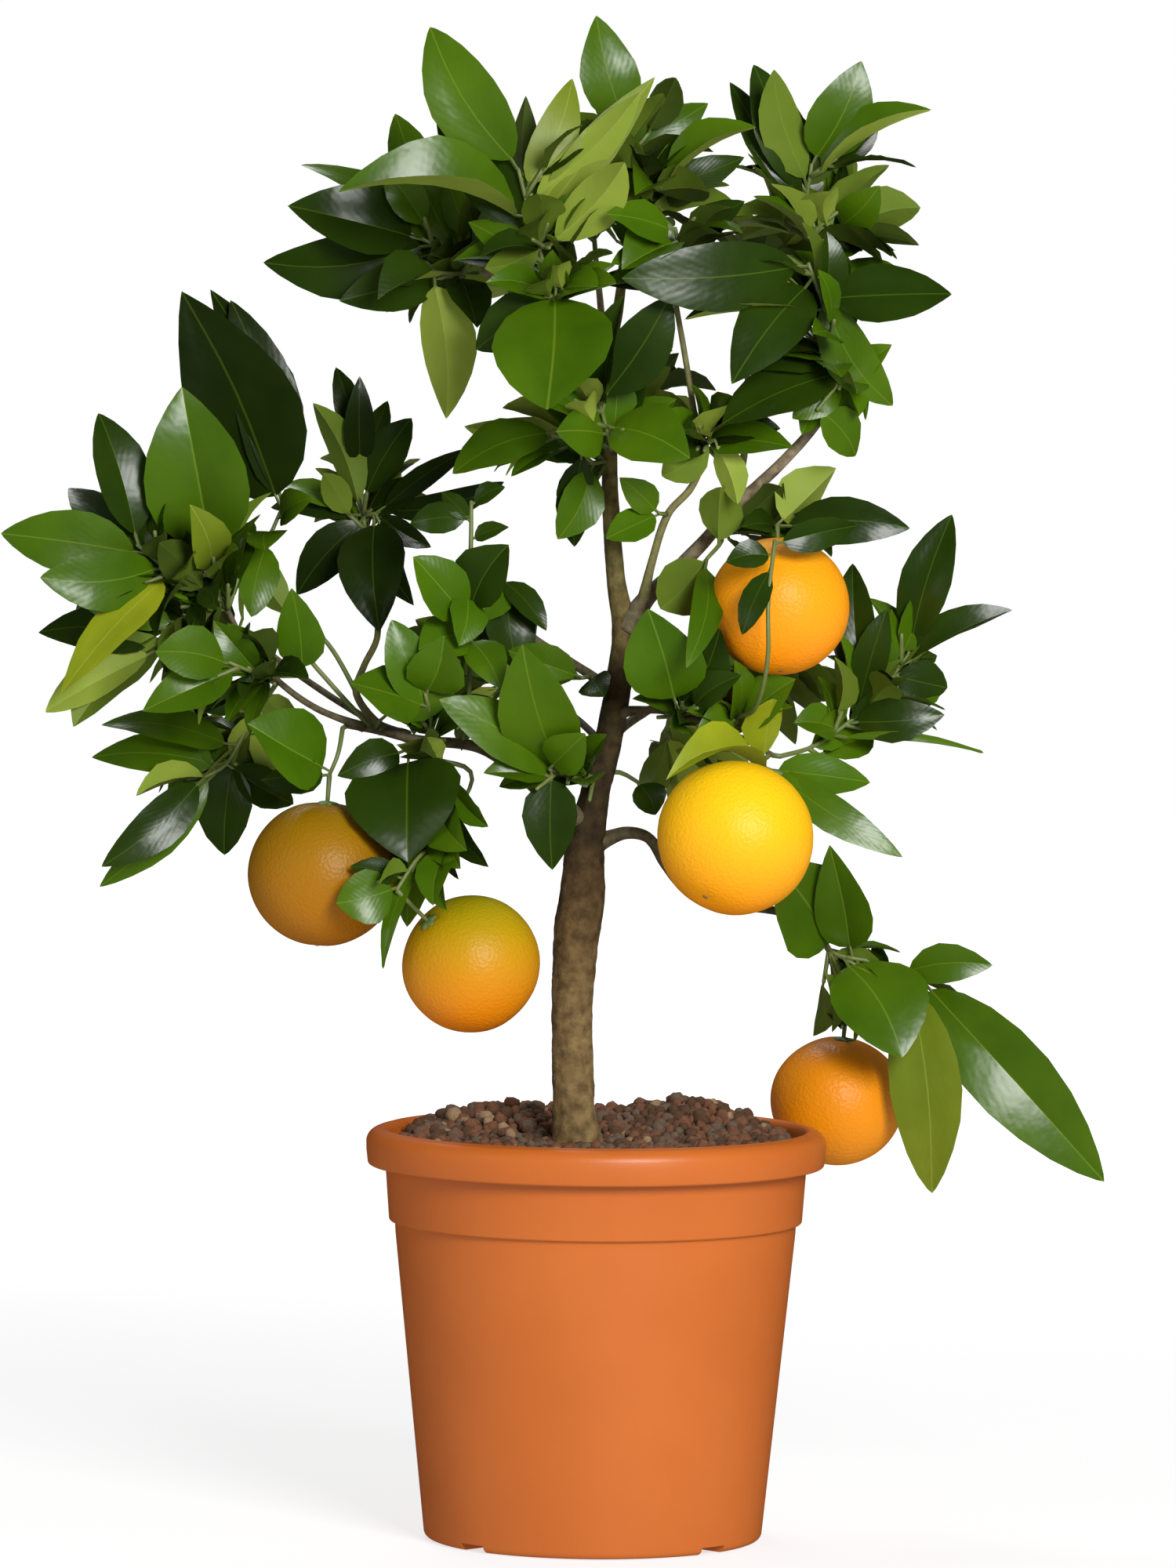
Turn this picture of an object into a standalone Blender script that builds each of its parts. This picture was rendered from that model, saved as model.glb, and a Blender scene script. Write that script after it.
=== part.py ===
"""A young orange tree in a 22 cm nursery pot: pot, soil, trunk, boughs and masses of foliage with oranges.

Lengths in the tables are millimetres. The origin is the middle of the pot's underside, +Z is up, and the
side that the tree is seen from looks towards -Y.
"""

import math
import random
from collections import namedtuple

import bmesh
import bpy
from mathutils import Matrix, Vector, noise
from mathutils.bvhtree import BVHTree

MM = 0.001
GAP = 0.3
SHARP_ANGLE = math.radians(35)
SAME_POINT = 1e-6

# Pot: outer radii and heights, from the rolled rim down to the foot
RIM_RADIUS = 110
RIM_TOP = 196.5
RIM_BOTTOM = 179
RIM_ROUNDING = 5
COLLAR_RADIUS = 100.6
COLLAR_FOOT_RADIUS = 98.8
COLLAR_BOTTOM = 152.5
BODY_RADIUS = 95.9
FOOT_RADIUS = 81
FOOT_ROUNDING = 3.5
WALL = 2.2
FLOOR = 6
EDGE = 1.2
SHOULDER = 1
LIP_INNER_ROUNDING = 3
POT_STEPS = 40
DRAIN_COUNT = 4
DRAIN_WIDTH = 15
DRAIN_DEPTH = 3.6
DRAIN_INNER = 34
DRAIN_PAST_FOOT = 10
DRAIN_HOLE_RADIUS = 4.5
DRAIN_HOLE_AT = 52
DRAIN_HOLE_STEPS = 12

# Soil: granules heaped higher behind the trunk than in front of it, lumpy, and flat where the trunk stands.
# Each heap has its place, its spread and its height.
SOIL_LEVEL = 187.5
SOIL_RISE = 7
SOIL_RISE_OVER = 70
HEAPS = (((44, 56), 20, 9), ((-38, 58), 24, 5))
LUMP_HEIGHT = 5
LUMP_SPREAD = 9
TRUNK_SEAT = 25
SEAT_EDGE = 10
SOIL_CLEARANCE = 0.6
SOIL_RINGS = 7
SOIL_STEPS = 36

Leaf = namedtuple("Leaf", "tip width facing arch", defaults=(0.08,))
Shoot = namedtuple("Shoot", "path marked leaves length side", defaults=((), 0, 50, 0))
Orange = namedtuple("Orange", "centre radius")
Mass = namedtuple("Mass", "limb shoots space orange", defaults=(None,))

# The way that a marked leaf turns its glossy side
FRONT = Vector((0, -1, 0.25))
SLANT = Vector((0, -0.7, 0.7))
UP = Vector((0, -0.35, 1))
BACK = Vector((0, 1, 0.3))

# Trunk and boughs: points on the axis, and the radius at the first and the last point. The trunk has one
# radius for each point: it flares at the soil, swells at the graft and narrows above each bough.
TRUNK = ((-9, 0, 187.8), (-9, 0, 190.5), (-10, 0, 197), (-11, 0.2, 208), (-12, 2, 263), (-10, 3, 291),
         (-8, 3, 308), (-6, 2, 335), (-1, 0, 361), (4, -2, 382), (9, -3, 412), (11, -1, 434),
         (7, 2, 458), (4, 4, 496), (3, 5, 533), (2, 6, 559), (7, 8, 589), (9, 8, 609))
TRUNK_RADII = (12.4, 11.8, 10.6, 9.6, 9.3, 10.9, 10.2, 8.6, 6.5, 6.3, 6.0, 5.6, 4.3, 3.8, 3.3, 2.9, 2.4, 2.0)
BOUGHS = {
    "bough_left": ("trunk", (3.9, 1.6), ((-5, 1, 343), (-20, -4, 351), (-41, -12, 369), (-58, -14, 379),
                                         (-85, -15, 382), (-103, -17, 386), (-120, -18, 389))),
    "bough_left_high": ("trunk", (2.6, 1.4), ((9, -3, 402), (-2, 4, 411), (-16, 8, 420), (-32, 12, 430),
                                              (-42, 14, 440), (-46, 12, 451))),
    "bough_right": ("trunk", (4.3, 1.5), ((12, -1, 434), (20, 0, 448), (31, 4, 459), (46, 6, 474),
                                          (63, 0, 494), (86, -8, 516), (103, -12, 536), (112, -14, 553),
                                          (108, -16, 575))),
    "bough_right_inner": ("bough_right", (1.9, 1.3), ((63, 0, 494), (67, 8, 515), (70, 38, 541),
                                                      (68, 74, 574))),
    "bough_centre": ("bough_right", (2.1, 1.3), ((20, 0, 448), (23, -7, 464), (31, -13, 490), (42, -15, 503),
                                                 (47, -17, 517), (44, -19, 534), (39, -22, 563),
                                                 (34, -26, 590))),
    "bough_top_left": ("trunk", (2.3, 1.5), ((2, 6, 547), (-8, -12, 570), (-18, -26, 589), (-27, -36, 604))),
    "bough_far_left": ("trunk", (2.2, 1.4), ((3, 5, 525), (-8, 16, 551), (-26, 24, 579), (-44, 27, 597),
                                             (-59, 24, 605))),
    "bough_top_back": ("trunk", (2.2, 1.3), ((3, 5, 540), (1, 38, 566), (-2, 70, 593), (-4, 88, 611))),
    "bough_front": ("trunk", (2.0, 1.3), ((3, 5, 531), (-3, -26, 556), (-13, -52, 580), (-20, -66, 594))),
    "bough_left_up": ("bough_left", (1.8, 1.3), ((-103, -17, 386), (-116, -6, 403), (-113, 6, 416),
                                                 (-107, 20, 430), (-109, 34, 453), (-114, 50, 480))),
    "bough_left_upper": ("bough_left", (1.6, 1.4), ((-112, -17.5, 388), (-136, -26, 398), (-155, -24, 412),
                                                    (-170, -24, 430), (-177, -24, 443))),
    "bough_left_back": ("bough_left", (2.0, 1.3), ((-92, -16, 384), (-112, 14, 391), (-142, 55, 407),
                                                   (-173, 80, 428))),
    "bough_right_low": ("trunk", (3.3, 1.6), ((-5, 2, 331), (4, 2, 335), (14, 1, 338), (24, 4, 335),
                                              (32, 14, 322), (44, 28, 308), (67, 42, 301), (92, 54, 296),
                                              (105, 60, 288), (112, 64, 278))),
    "bough_right_mid": ("trunk", (2.1, 1.3), ((7, -3, 395), (18, -10, 397), (31, -15, 397), (50, -20, 392),
                                              (69, -24, 384), (82, -26, 377))),
    "bough_back": ("trunk", (2.4, 1.5), ((5, -2, 384), (17, 34, 391), (36, 70, 401), (53, 94, 410))),
    "bough_back_left": ("trunk", (2.0, 1.3), ((4, -2, 377), (-8, 28, 388), (-25, 60, 399), (-46, 84, 406))),
}

# Masses of foliage: the limb that carries each, its shoots with the leaves that mark the crown's outline,
# how many more leaves grow on each shoot, and the space (middle and half sizes) that they keep to
MASSES = {
    "foliage_top_left": Mass("bough_top_left", (
        Shoot(((-34, -40, 626), (-41, -44, 653)), (
            Leaf((-83, -48, 719), 31, FRONT), Leaf((-38, -10, 688), 15, BACK),
            Leaf((-16, -26, 696), 19, FRONT), Leaf((16, -62, 689), 20, BACK),
            Leaf((-125, -70, 641), 30, SLANT, 0.2), Leaf((23, -36, 697), 18, FRONT),
            Leaf((-80, -20, 676), 26, FRONT)), 2, 52),
        Shoot(((-26, -52, 616),), (Leaf((9, -78, 656), 28, BACK), Leaf((-56, -64, 606), 15, BACK)), 2, 46)),
        ((-42, -38, 650), (56, 44, 52))),
    "foliage_far_left": Mass("bough_far_left", (
        Shoot(((-73, 22, 613), (-87, 18, 620)), (
            Leaf((-151, 6, 635), 34, FRONT), Leaf((-163, 22, 608), 30, FRONT),
            Leaf((-146, 38, 655), 15, FRONT), Leaf((-101, 46, 680), 24, FRONT)), 4, 50),
        Shoot(((-68, 4, 604), (-82, -10, 604)), (
            Leaf((-74, -34, 535), 29, BACK), Leaf((-107, -28, 591), 24, UP),
            Leaf((-126, 2, 590), 24, FRONT), Leaf((-60, -24, 578), 22, FRONT)), 1, 44)),
        ((-92, 20, 620), (62, 44, 44))),
    "foliage_front": Mass("bough_front", (
        Shoot(((-23, -78, 598),), (
            Leaf((-26, -122, 541), 56, FRONT, 0.05), Leaf((-3, -98, 598), 22, FRONT),
            Leaf((-60, -64, 568), 24, FRONT), Leaf((-31, -82, 549), 22, FRONT)), 3, 42),),
        ((-20, -84, 585), (40, 40, 40))),
    "foliage_top": Mass("trunk", (
        Shoot(((12, 12, 638), (10, 18, 673)), (
            Leaf((-5, 16, 727), 27, FRONT), Leaf((27, -4, 690), 15, BACK),
            Leaf((49, 26, 686), 18, FRONT)), 5, 50),
        Shoot(((26, -10, 645),), (
            Leaf((71, -20, 674), 20, FRONT), Leaf((49, -36, 643), 20, BACK)), 3, 46)),
        ((18, 4, 652), (52, 42, 52))),
    "foliage_centre": Mass("bough_centre", (
        Shoot(((36, -38, 612), (33, -46, 626)), (
            Leaf((0, -66, 632), 22, FRONT), Leaf((8, -64, 606), 28, SLANT)), 4, 46),),
        ((36, -46, 612), (46, 42, 36))),
    "foliage_right_top": Mass("bough_right", (
        Shoot(((103, -8, 605), (96, 0, 636), (98, -3, 657)), (
            Leaf((121, -6, 706), 28, FRONT), Leaf((154, -16, 683), 20, FRONT),
            Leaf((79, -30, 701), 20, BACK), Leaf((70, -14, 704), 24, FRONT),
            Leaf((59, 18, 696), 18, FRONT)), 3, 50),
        Shoot(((117, 6, 627),), (
            Leaf((150, 0, 637), 22, BACK), Leaf((130, -18, 647), 18, FRONT),
            Leaf((106, -30, 644), 18, BACK)), 3, 38)),
        ((102, 0, 640), (54, 40, 50))),
    "foliage_right_front": Mass("bough_right", (
        Shoot(((108, -30, 564), (104, -36, 588), (96, -40, 610)), (
            Leaf((8, -72, 602), 30, FRONT), Leaf((60, -68, 553), 30, FRONT),
            Leaf((137, -24, 543), 22, FRONT), Leaf((164, -34, 596), 34, FRONT),
            Leaf((38, -46, 583), 22, SLANT)), 2, 46),),
        ((98, -36, 592), (50, 40, 42))),
    "foliage_right_lower": Mass("bough_right", (
        Shoot(((116, -28, 560),), (Leaf((56, -52, 534), 30, FRONT), Leaf((136, -34, 572), 14, FRONT)), 2, 36),
        Shoot(((101, -38, 541),), (Leaf((120, -16, 519), 20, FRONT),), 1, 30)),
        ((100, -30, 546), (40, 34, 26))),
    "foliage_low_middle": Mass("trunk", (
        Shoot(((4, -28, 523), (-2, -42, 544)), (
            Leaf((31, -54, 594), 26, FRONT), Leaf((9, -68, 594), 20, SLANT),
            Leaf((41, -64, 518), 30, FRONT), Leaf((-22, -60, 530), 24, FRONT)), 3, 46),),
        ((6, -48, 546), (44, 34, 32))),
    "foliage_leader_left": Mass("trunk", (
        Shoot(((-6, -8, 515), (-14, -14, 528), (-23, -14, 531)), (
            Leaf((-71, -28, 509), 24, FRONT), Leaf((-66, -2, 531), 16, BACK),
            Leaf((-48, 6, 540), 16, UP), Leaf((-13, 6, 474), 16, FRONT)), 0, 40),),
        ((-26, -8, 520), (40, 30, 26))),
    "foliage_low_centre": Mass("bough_centre", (
        Shoot(((53, -28, 526),), (Leaf((28, -38, 509), 17, BACK), Leaf((65, -44, 545), 20, SLANT),
            Leaf((90, -38, 523), 20, FRONT)), 2, 36),),
        ((52, -30, 530), (34, 28, 26))),
    "foliage_fork": Mass("bough_centre", (
        Shoot(((27, -22, 491),), (Leaf((2, -30, 479), 17, FRONT),), 1, 26),),
        ((24, -26, 490), (28, 22, 18))),
    "foliage_dark": Mass("bough_left_up", (
        Shoot(((-116, 52, 497), (-117, 54, 512)), (
            Leaf((-129, 60, 558), 14, FRONT), Leaf((-117, 40, 554), 14, FRONT),
            Leaf((-104, 68, 542), 14, FRONT), Leaf((-92, 50, 534), 20, FRONT),
            Leaf((-139, 34, 541), 17, BACK)), 7, 42),
        Shoot(((-109, 44, 488),), (
            Leaf((-106, 34, 432), 30, FRONT), Leaf((-147, 58, 448), 20, FRONT),
            Leaf((-160, 62, 490), 16, FRONT), Leaf((-80, 40, 506), 16, FRONT)), 3, 40)),
        ((-120, 54, 506), (46, 40, 36))),
    "foliage_left_middle": Mass("bough_left", (
        Shoot(((-62, -24, 410), (-63, -28, 446)), (
            Leaf((-44, -36, 476), 28, FRONT), Leaf((-89, -42, 470), 26, FRONT),
            Leaf((-86, -42, 426), 24, FRONT)), 1, 30),
        Shoot(((-62, -26, 474), (-62, -24, 496)), (
            Leaf((-46, -28, 503), 10, FRONT), Leaf((-91, -18, 485), 14, FRONT)), 1, 24)),
        ((-64, -28, 466), (32, 26, 40))),
    "foliage_trunk_left": Mass("trunk", (
        Shoot(((-11, -22, 365), (-24, -36, 370)), (
            Leaf((-22, -34, 322), 24, FRONT), Leaf((-37, -62, 430), 40, FRONT),
            Leaf((-76, -48, 403), 26, FRONT)), 2, 34),),
        ((-28, -38, 378), (36, 30, 26))),
    "foliage_bough_left": Mass("bough_left", (
        Shoot(((-80, -26, 392), (-83, -32, 405)), (
            Leaf((-74, -40, 433), 26, FRONT), Leaf((-118, -44, 410), 30, FRONT),
            Leaf((-99, -36, 440), 22, FRONT)), 1, 34),),
        ((-72, -20, 408), (38, 30, 26))),
    "foliage_left_high": Mass("bough_left_high", (
        Shoot(((-48, 12, 459),), (Leaf((-60, 4, 438), 20, FRONT),), 4, 34),),
        ((-50, 18, 446), (28, 30, 26))),
    "foliage_left_high_side": Mass("bough_left_high", (
        Shoot(((-9, -8, 412),), (
            Leaf((-44, -12, 425), 18, FRONT), Leaf((-36, -12, 405), 15, UP),
            Leaf((2, -26, 404), 16, FRONT)), 0, 28),),
        ((-18, -8, 408), (28, 26, 16))),
    "foliage_right_leaf": Mass("bough_right_mid", (
        Shoot(((36, -38, 400),), (Leaf((22, -56, 447), 36, FRONT), Leaf((56, -44, 438), 26, FRONT)), 1, 34),),
        ((38, -44, 416), (32, 28, 30))),
    "foliage_right_middle": Mass("bough_right_mid", (
        Shoot(((65, -36, 395),), (
            Leaf((45, -48, 388), 22, FRONT), Leaf((92, -42, 414), 22, FRONT)), 3, 38),
        Shoot(((73, -56, 401), (78, -78, 424), (78, -80, 452), (81, -70, 480)), (
            Leaf((120, -52, 487), 15, FRONT), Leaf((58, -76, 470), 13, FRONT),
            Leaf((66, -80, 436), 13, FRONT)), 0, 30)),
        ((68, -44, 404), (38, 36, 28))),
    "foliage_trunk_right": Mass("trunk", (
        Shoot(((11, 8, 366), (19, 14, 361)), (Leaf((27, 10, 346), 16, FRONT),), 5, 32),),
        ((22, 14, 368), (28, 34, 26))),
    "fruit_right_top": Mass("bough_right", (
        Shoot(((57, -10, 478), (50, -24, 470)), (
            Leaf((28, -30, 446), 26, BACK), Leaf((43, -44, 430), 22, BACK),
            Leaf((56, -28, 504), 20, BACK), Leaf((52, -52, 416), 18, FRONT)), 0, 24),
        Shoot(((80, 2, 484), (83, -20, 486)), (
            Leaf((111, -8, 513), 24, BACK), Leaf((146, -20, 485), 21, FRONT)), 2, 34)),
        ((78, 0, 480), (44, 36, 30)), Orange((84, -34, 448), 33.5)),
    "foliage_far_right": Mass("bough_right_mid", (
        Shoot(((102, -12, 381), (127, 4, 398)), (
            Leaf((120, 16, 467), 20, FRONT), Leaf((136, -4, 446), 16, FRONT),
            Leaf((164, -6, 396), 20, FRONT), Leaf((92, -18, 392), 18, FRONT),
            Leaf((183, -4, 378), 4, FRONT)), 4, 44),
        Shoot(((147, 6, 424),), (
            Leaf((167, 10, 491), 23, FRONT), Leaf((196, 0, 446), 17, SLANT),
            Leaf((166, 14, 408), 20, FRONT)), 2, 38)),
        ((134, 8, 420), (42, 44, 44))),
    "fruit_right": Mass("bough_right_mid", (
        Shoot(((76, -40, 373), (86, -44, 369)), (
            Leaf((27, -100, 366), 18, SLANT), Leaf((128, -36, 365), 20, FRONT),
            Leaf((143, -56, 331), 23, FRONT), Leaf((81, -48, 405), 20, BACK)), 0, 30),),
        ((88, -44, 380), (40, 36, 30)), Orange((64, -64, 340), 37)),
    "fruit_right_low": Mass("bough_right_low", (
        Shoot(((120, 60, 275),), (
            Leaf((147, 30, 229), 44, FRONT), Leaf((84, 34, 322), 42, FRONT)), 1, 34),
        Shoot(((136, 62, 272), (158, 60, 264)), (
            Leaf((246, 50, 168), 36, FRONT), Leaf((163, 56, 161), 34, FRONT),
            Leaf((191, 56, 272), 18, FRONT), Leaf((196, 80, 205), 16, FRONT)), 2, 42),
        Shoot(((120, 76, 258), (121, 84, 244)), (Leaf((118, 58, 240), 14, FRONT),), 0, 30)),
        ((142, 72, 246), (44, 46, 32)), Orange((117.5, 88, 202.5), 32.5)),
    "fruit_far_left": Mass("bough_left", (
        Shoot(((-124, -28, 376), (-128, -30, 366)), (Leaf((-166, -54, 391), 38, FRONT),), 3, 32),),
        ((-138, -30, 372), (34, 34, 18)), Orange((-131, -30, 319), 35.5)),
    "foliage_left_inner": Mass("bough_left_upper", (
        Shoot(((-159, -46, 413), (-175, -56, 420)), (
            Leaf((-209, -68, 425), 24, FRONT), Leaf((-215, -64, 397), 22, FRONT)), 4, 38),
        Shoot(((-139, -36, 413),), (Leaf((-146, -48, 455), 22, FRONT),), 1, 26)),
        ((-170, -54, 412), (42, 34, 34))),
    "foliage_left_upper": Mass("bough_left_upper", (
        Shoot(((-183, -20, 456), (-184, -18, 468)), (
            Leaf((-199, -34, 549), 46, FRONT), Leaf((-194, -52, 494), 20, FRONT)), 3, 50),
        Shoot(((-200, -28, 460), (-220, -30, 474)), (
            Leaf((-239, -20, 536), 30, FRONT), Leaf((-284, -34, 479), 28, FRONT),
            Leaf((-254, -4, 500), 24, FRONT), Leaf((-264, -56, 459), 26, FRONT)), 2, 42),
        Shoot(((-163, -4, 472), (-152, 4, 492)), (
            Leaf((-194, 2, 595), 52, FRONT), Leaf((-137, -22, 497), 16, FRONT),
            Leaf((-159, -36, 472), 20, FRONT), Leaf((-166, -20, 440), 20, FRONT)), 1, 40),
        Shoot(((-202, -14, 435), (-211, -10, 423)), (
            Leaf((-262, -42, 395), 19, BACK), Leaf((-268, -2, 431), 24, FRONT),
            Leaf((-250, -20, 387), 30, BACK), Leaf((-247, 2, 444), 14, FRONT)), 3, 42)),
        ((-205, -16, 460), (66, 46, 68))),
    "foliage_left_low": Mass("bough_left_upper", (
        Shoot(((-167, 4, 389), (-178, 0, 369), (-188, -4, 363)), (
            Leaf((-236, -24, 321), 24, FRONT), Leaf((-238, -4, 310), 18, FRONT),
            Leaf((-243, 12, 371), 20, FRONT), Leaf((-179, 8, 325), 26, FRONT),
            Leaf((-238, 2, 387), 20, FRONT), Leaf((-205, 14, 336), 16, SLANT)), 5, 42),),
        ((-192, 4, 362), (46, 40, 34))),
    "fruit_near_left": Mass("bough_left", (
        Shoot(((-76, -32, 362), (-72, -42, 335)), ()),
        Shoot(((-92, -30, 378),), (Leaf((-90, -58, 327), 52, FRONT),)),
        Shoot(((-84, -56, 330), (-95, -66, 314)), (
            Leaf((-123, -74, 308), 24, FRONT), Leaf((-117, -58, 325), 12, FRONT),
            Leaf((-103, -82, 318), 12, BACK), Leaf((-101, -70, 277), 8, FRONT)), 3, 22),
        Shoot(((-61, -18, 367), (-65, -18, 352)), (Leaf((-55, -20, 341), 8, FRONT),), 2, 13)),
        ((-86, -50, 335), (40, 40, 50)), Orange((-60, -46, 278), 33)),
    "foliage_back_top_left": Mass("bough_top_back", (
        Shoot(((-22, 74, 600), (-50, 82, 622)), (), 9, 54, 2),),
        ((-56, 78, 626), (56, 46, 40))),
    "foliage_back_top": Mass("bough_top_back", (
        Shoot(((-6, 98, 638), (-5, 100, 665)), (), 9, 52, 2),),
        ((2, 98, 650), (50, 44, 46))),
    "foliage_back_right": Mass("bough_right_inner", (
        Shoot(((80, 85, 608), (91, 85, 635)), (), 9, 52, 2),),
        ((92, 82, 626), (54, 46, 54))),
    "foliage_back_low": Mass("trunk", (
        Shoot(((8, 40, 536), (19, 60, 551)), (), 8, 48, 1),),
        ((18, 60, 548), (42, 40, 34))),
    "foliage_back_left": Mass("bough_left_back", (
        Shoot(((-193, 80, 446), (-208, 78, 462)), (), 9, 52, 2),),
        ((-204, 72, 456), (52, 46, 58))),
    "foliage_back_left_low": Mass("bough_left_back", (
        Shoot(((-177, 70, 382), (-198, 74, 372)), (), 8, 46, 1),),
        ((-186, 66, 376), (44, 40, 34))),
    "foliage_back_middle": Mass("bough_back", (
        Shoot(((71, 105, 413), (84, 108, 406)), (), 9, 48, 2),),
        ((74, 98, 408), (46, 44, 40))),
    "foliage_back_middle_low": Mass("bough_back", (
        Shoot(((32, 80, 372), (40, 86, 357)), (), 7, 42, 1),),
        ((40, 78, 362), (36, 38, 30))),
    "foliage_back_middle_left": Mass("bough_back_left", (
        Shoot(((-63, 95, 409), (-79, 98, 412)), (), 9, 46, 2),),
        ((-66, 90, 406), (46, 44, 38))),
}

# Openings where the sky shows through the crown, seen from the front: x and z of the middle, half sizes
SKY = (((-120, 568), (22, 20)), ((-54, 550), (9, 12)), ((-32, 498), (10, 18)), ((-12, 452), (15, 24)),
       ((48, 567), (9, 14)), ((54, 651), (9, 5)), ((30, 473), (10, 12)), ((-144, 469), (14, 11)),
       ((-125, 420), (11, 12)), ((40, 437), (6, 5)), ((-76, 388), (13, 4)))

# Growth: the shares of sides and steps, twigs, the places of leaves along them and the shape of a leaf
TRUNK_SIDES = 12
BOUGH_SIDES = 6
TWIG_SIDES = 3
STEPS_PER_SPAN = 2
MANY_POINTS = 6
TWIG_RADIUS = 1.25
TWIG_TIP_RADIUS = 0.95
COLLAR = 2
STEM_CLEARANCE = 0.05
AT_TIP = 1
FIRST_NODE = 1.5
NODE_SPACING = 5.5
PHYLLOTAXIS = math.radians(135)
TIP_SPREAD = math.radians(28)
FULL_SPREAD = math.radians(66)
SPREAD_NODES = 6
WIDTH_RATIO = 0.46
FOLD = math.radians(16)
LEAF_THICKNESS = 0.018
MARKED_STATIONS = ((0.3, 1.0), (0.68, 0.94))
PLAIN_STATION = (0.46, 1.2)
PLAIN_ARCH = 0.09
LENGTHS = (0.82, 1.12)
LEAN_ACROSS = (-0.3, 0.3)
LEAN_FORWARD = (-0.6, 0.1)
LIFT = 1.4
ROOT = 0.5
CLEARANCE = 0.35
SIDE_TWIG_LENGTH = 26
SIDE_TWIG_FIRST = 0.6
SIDE_TWIG_APART = 0.8
SIDE_TWIG_LEAVES = 4
ORANGE_STEPS = 10
ORANGE_RINGS = 7
ORANGE_HEIGHT = 0.97
STALK_IN_PEEL = 2
TURNS = (0, 24, -24, 48, -48, 72, -72)
DEPTH_SHIFTS = (0, -5, 5, -10, 10, -15, 15, -20, 20)


def point(millimetres):
    return Vector(millimetres) * MM


def material(name, colour, roughness, metallic=0.0):
    made = bpy.data.materials.new(name)
    made.use_nodes = True
    shader = made.node_tree.nodes["Principled BSDF"]
    shader.inputs["Base Color"].default_value = (*colour, 1)
    shader.inputs["Roughness"].default_value = roughness
    shader.inputs["Metallic"].default_value = metallic
    made.diffuse_color = (*colour, 1)
    return made


def put(name, mesh, collection, *materials):
    """A named object of this mesh in the collection, with these materials."""
    piece = bpy.data.objects.new(name, mesh)
    collection.objects.link(piece)
    for finish in materials:
        mesh.materials.append(finish)
    return piece


def applied(piece):
    """The piece with its modifiers applied to its mesh."""
    bpy.context.view_layer.update()
    seen = piece.evaluated_get(bpy.context.evaluated_depsgraph_get())
    mesh = bpy.data.meshes.new_from_object(seen)
    piece.modifiers.clear()
    piece.data = mesh
    return piece


def boolean(piece, operation, collection, solver="EXACT"):
    """Joins to the piece, or cuts from it, all that the collection holds, and then removes that."""
    change = piece.modifiers.new(operation.lower(), "BOOLEAN")
    change.operation = operation
    change.operand_type = "COLLECTION"
    change.collection = collection
    change.solver = solver
    applied(piece)
    for used in list(collection.objects):
        bpy.data.objects.remove(used)
    return piece


def drop_scraps(piece):
    """Keeps only the largest of the piece's separate bodies."""
    shape = bmesh.new()
    shape.from_mesh(piece.data)
    left = set(shape.verts)
    bodies = []
    while left:
        body = {left.pop()}
        edge = set(body)
        while edge:
            edge = {link.other_vert(corner) for corner in edge for link in corner.link_edges} - body
            body |= edge
        left -= body
        bodies.append(body)
    bodies.sort(key=len)
    bmesh.ops.delete(shape, geom=[corner for body in bodies[:-1] for corner in body], context="VERTS")
    shape.to_mesh(piece.data)
    shape.free()


def turned(name, profile, steps, collection, finish):
    """A solid of revolution: the profile's (radius, height) points run down its outer side."""
    mesh = bpy.data.meshes.new(name)
    points = [(radius * MM, 0, height * MM) for radius, height in profile]
    mesh.from_pydata(points, [(i, i + 1) for i in range(len(points) - 1)], [])
    piece = put(name, mesh, collection, finish)
    screw = piece.modifiers.new("screw", "SCREW")
    screw.axis = "Z"
    screw.steps = screw.render_steps = steps
    screw.use_merge_vertices = True
    screw.merge_threshold = 100 * SAME_POINT
    screw.use_smooth_shade = True
    return applied(piece)


def arc(centre, radius, start, end, count):
    """(radius, height) points on a round corner, from one angle to another in degrees."""
    angles = [math.radians(start + (end - start) * i / count) for i in range(count + 1)]
    return [(centre[0] + radius * math.cos(a), centre[1] + radius * math.sin(a)) for a in angles]


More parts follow.
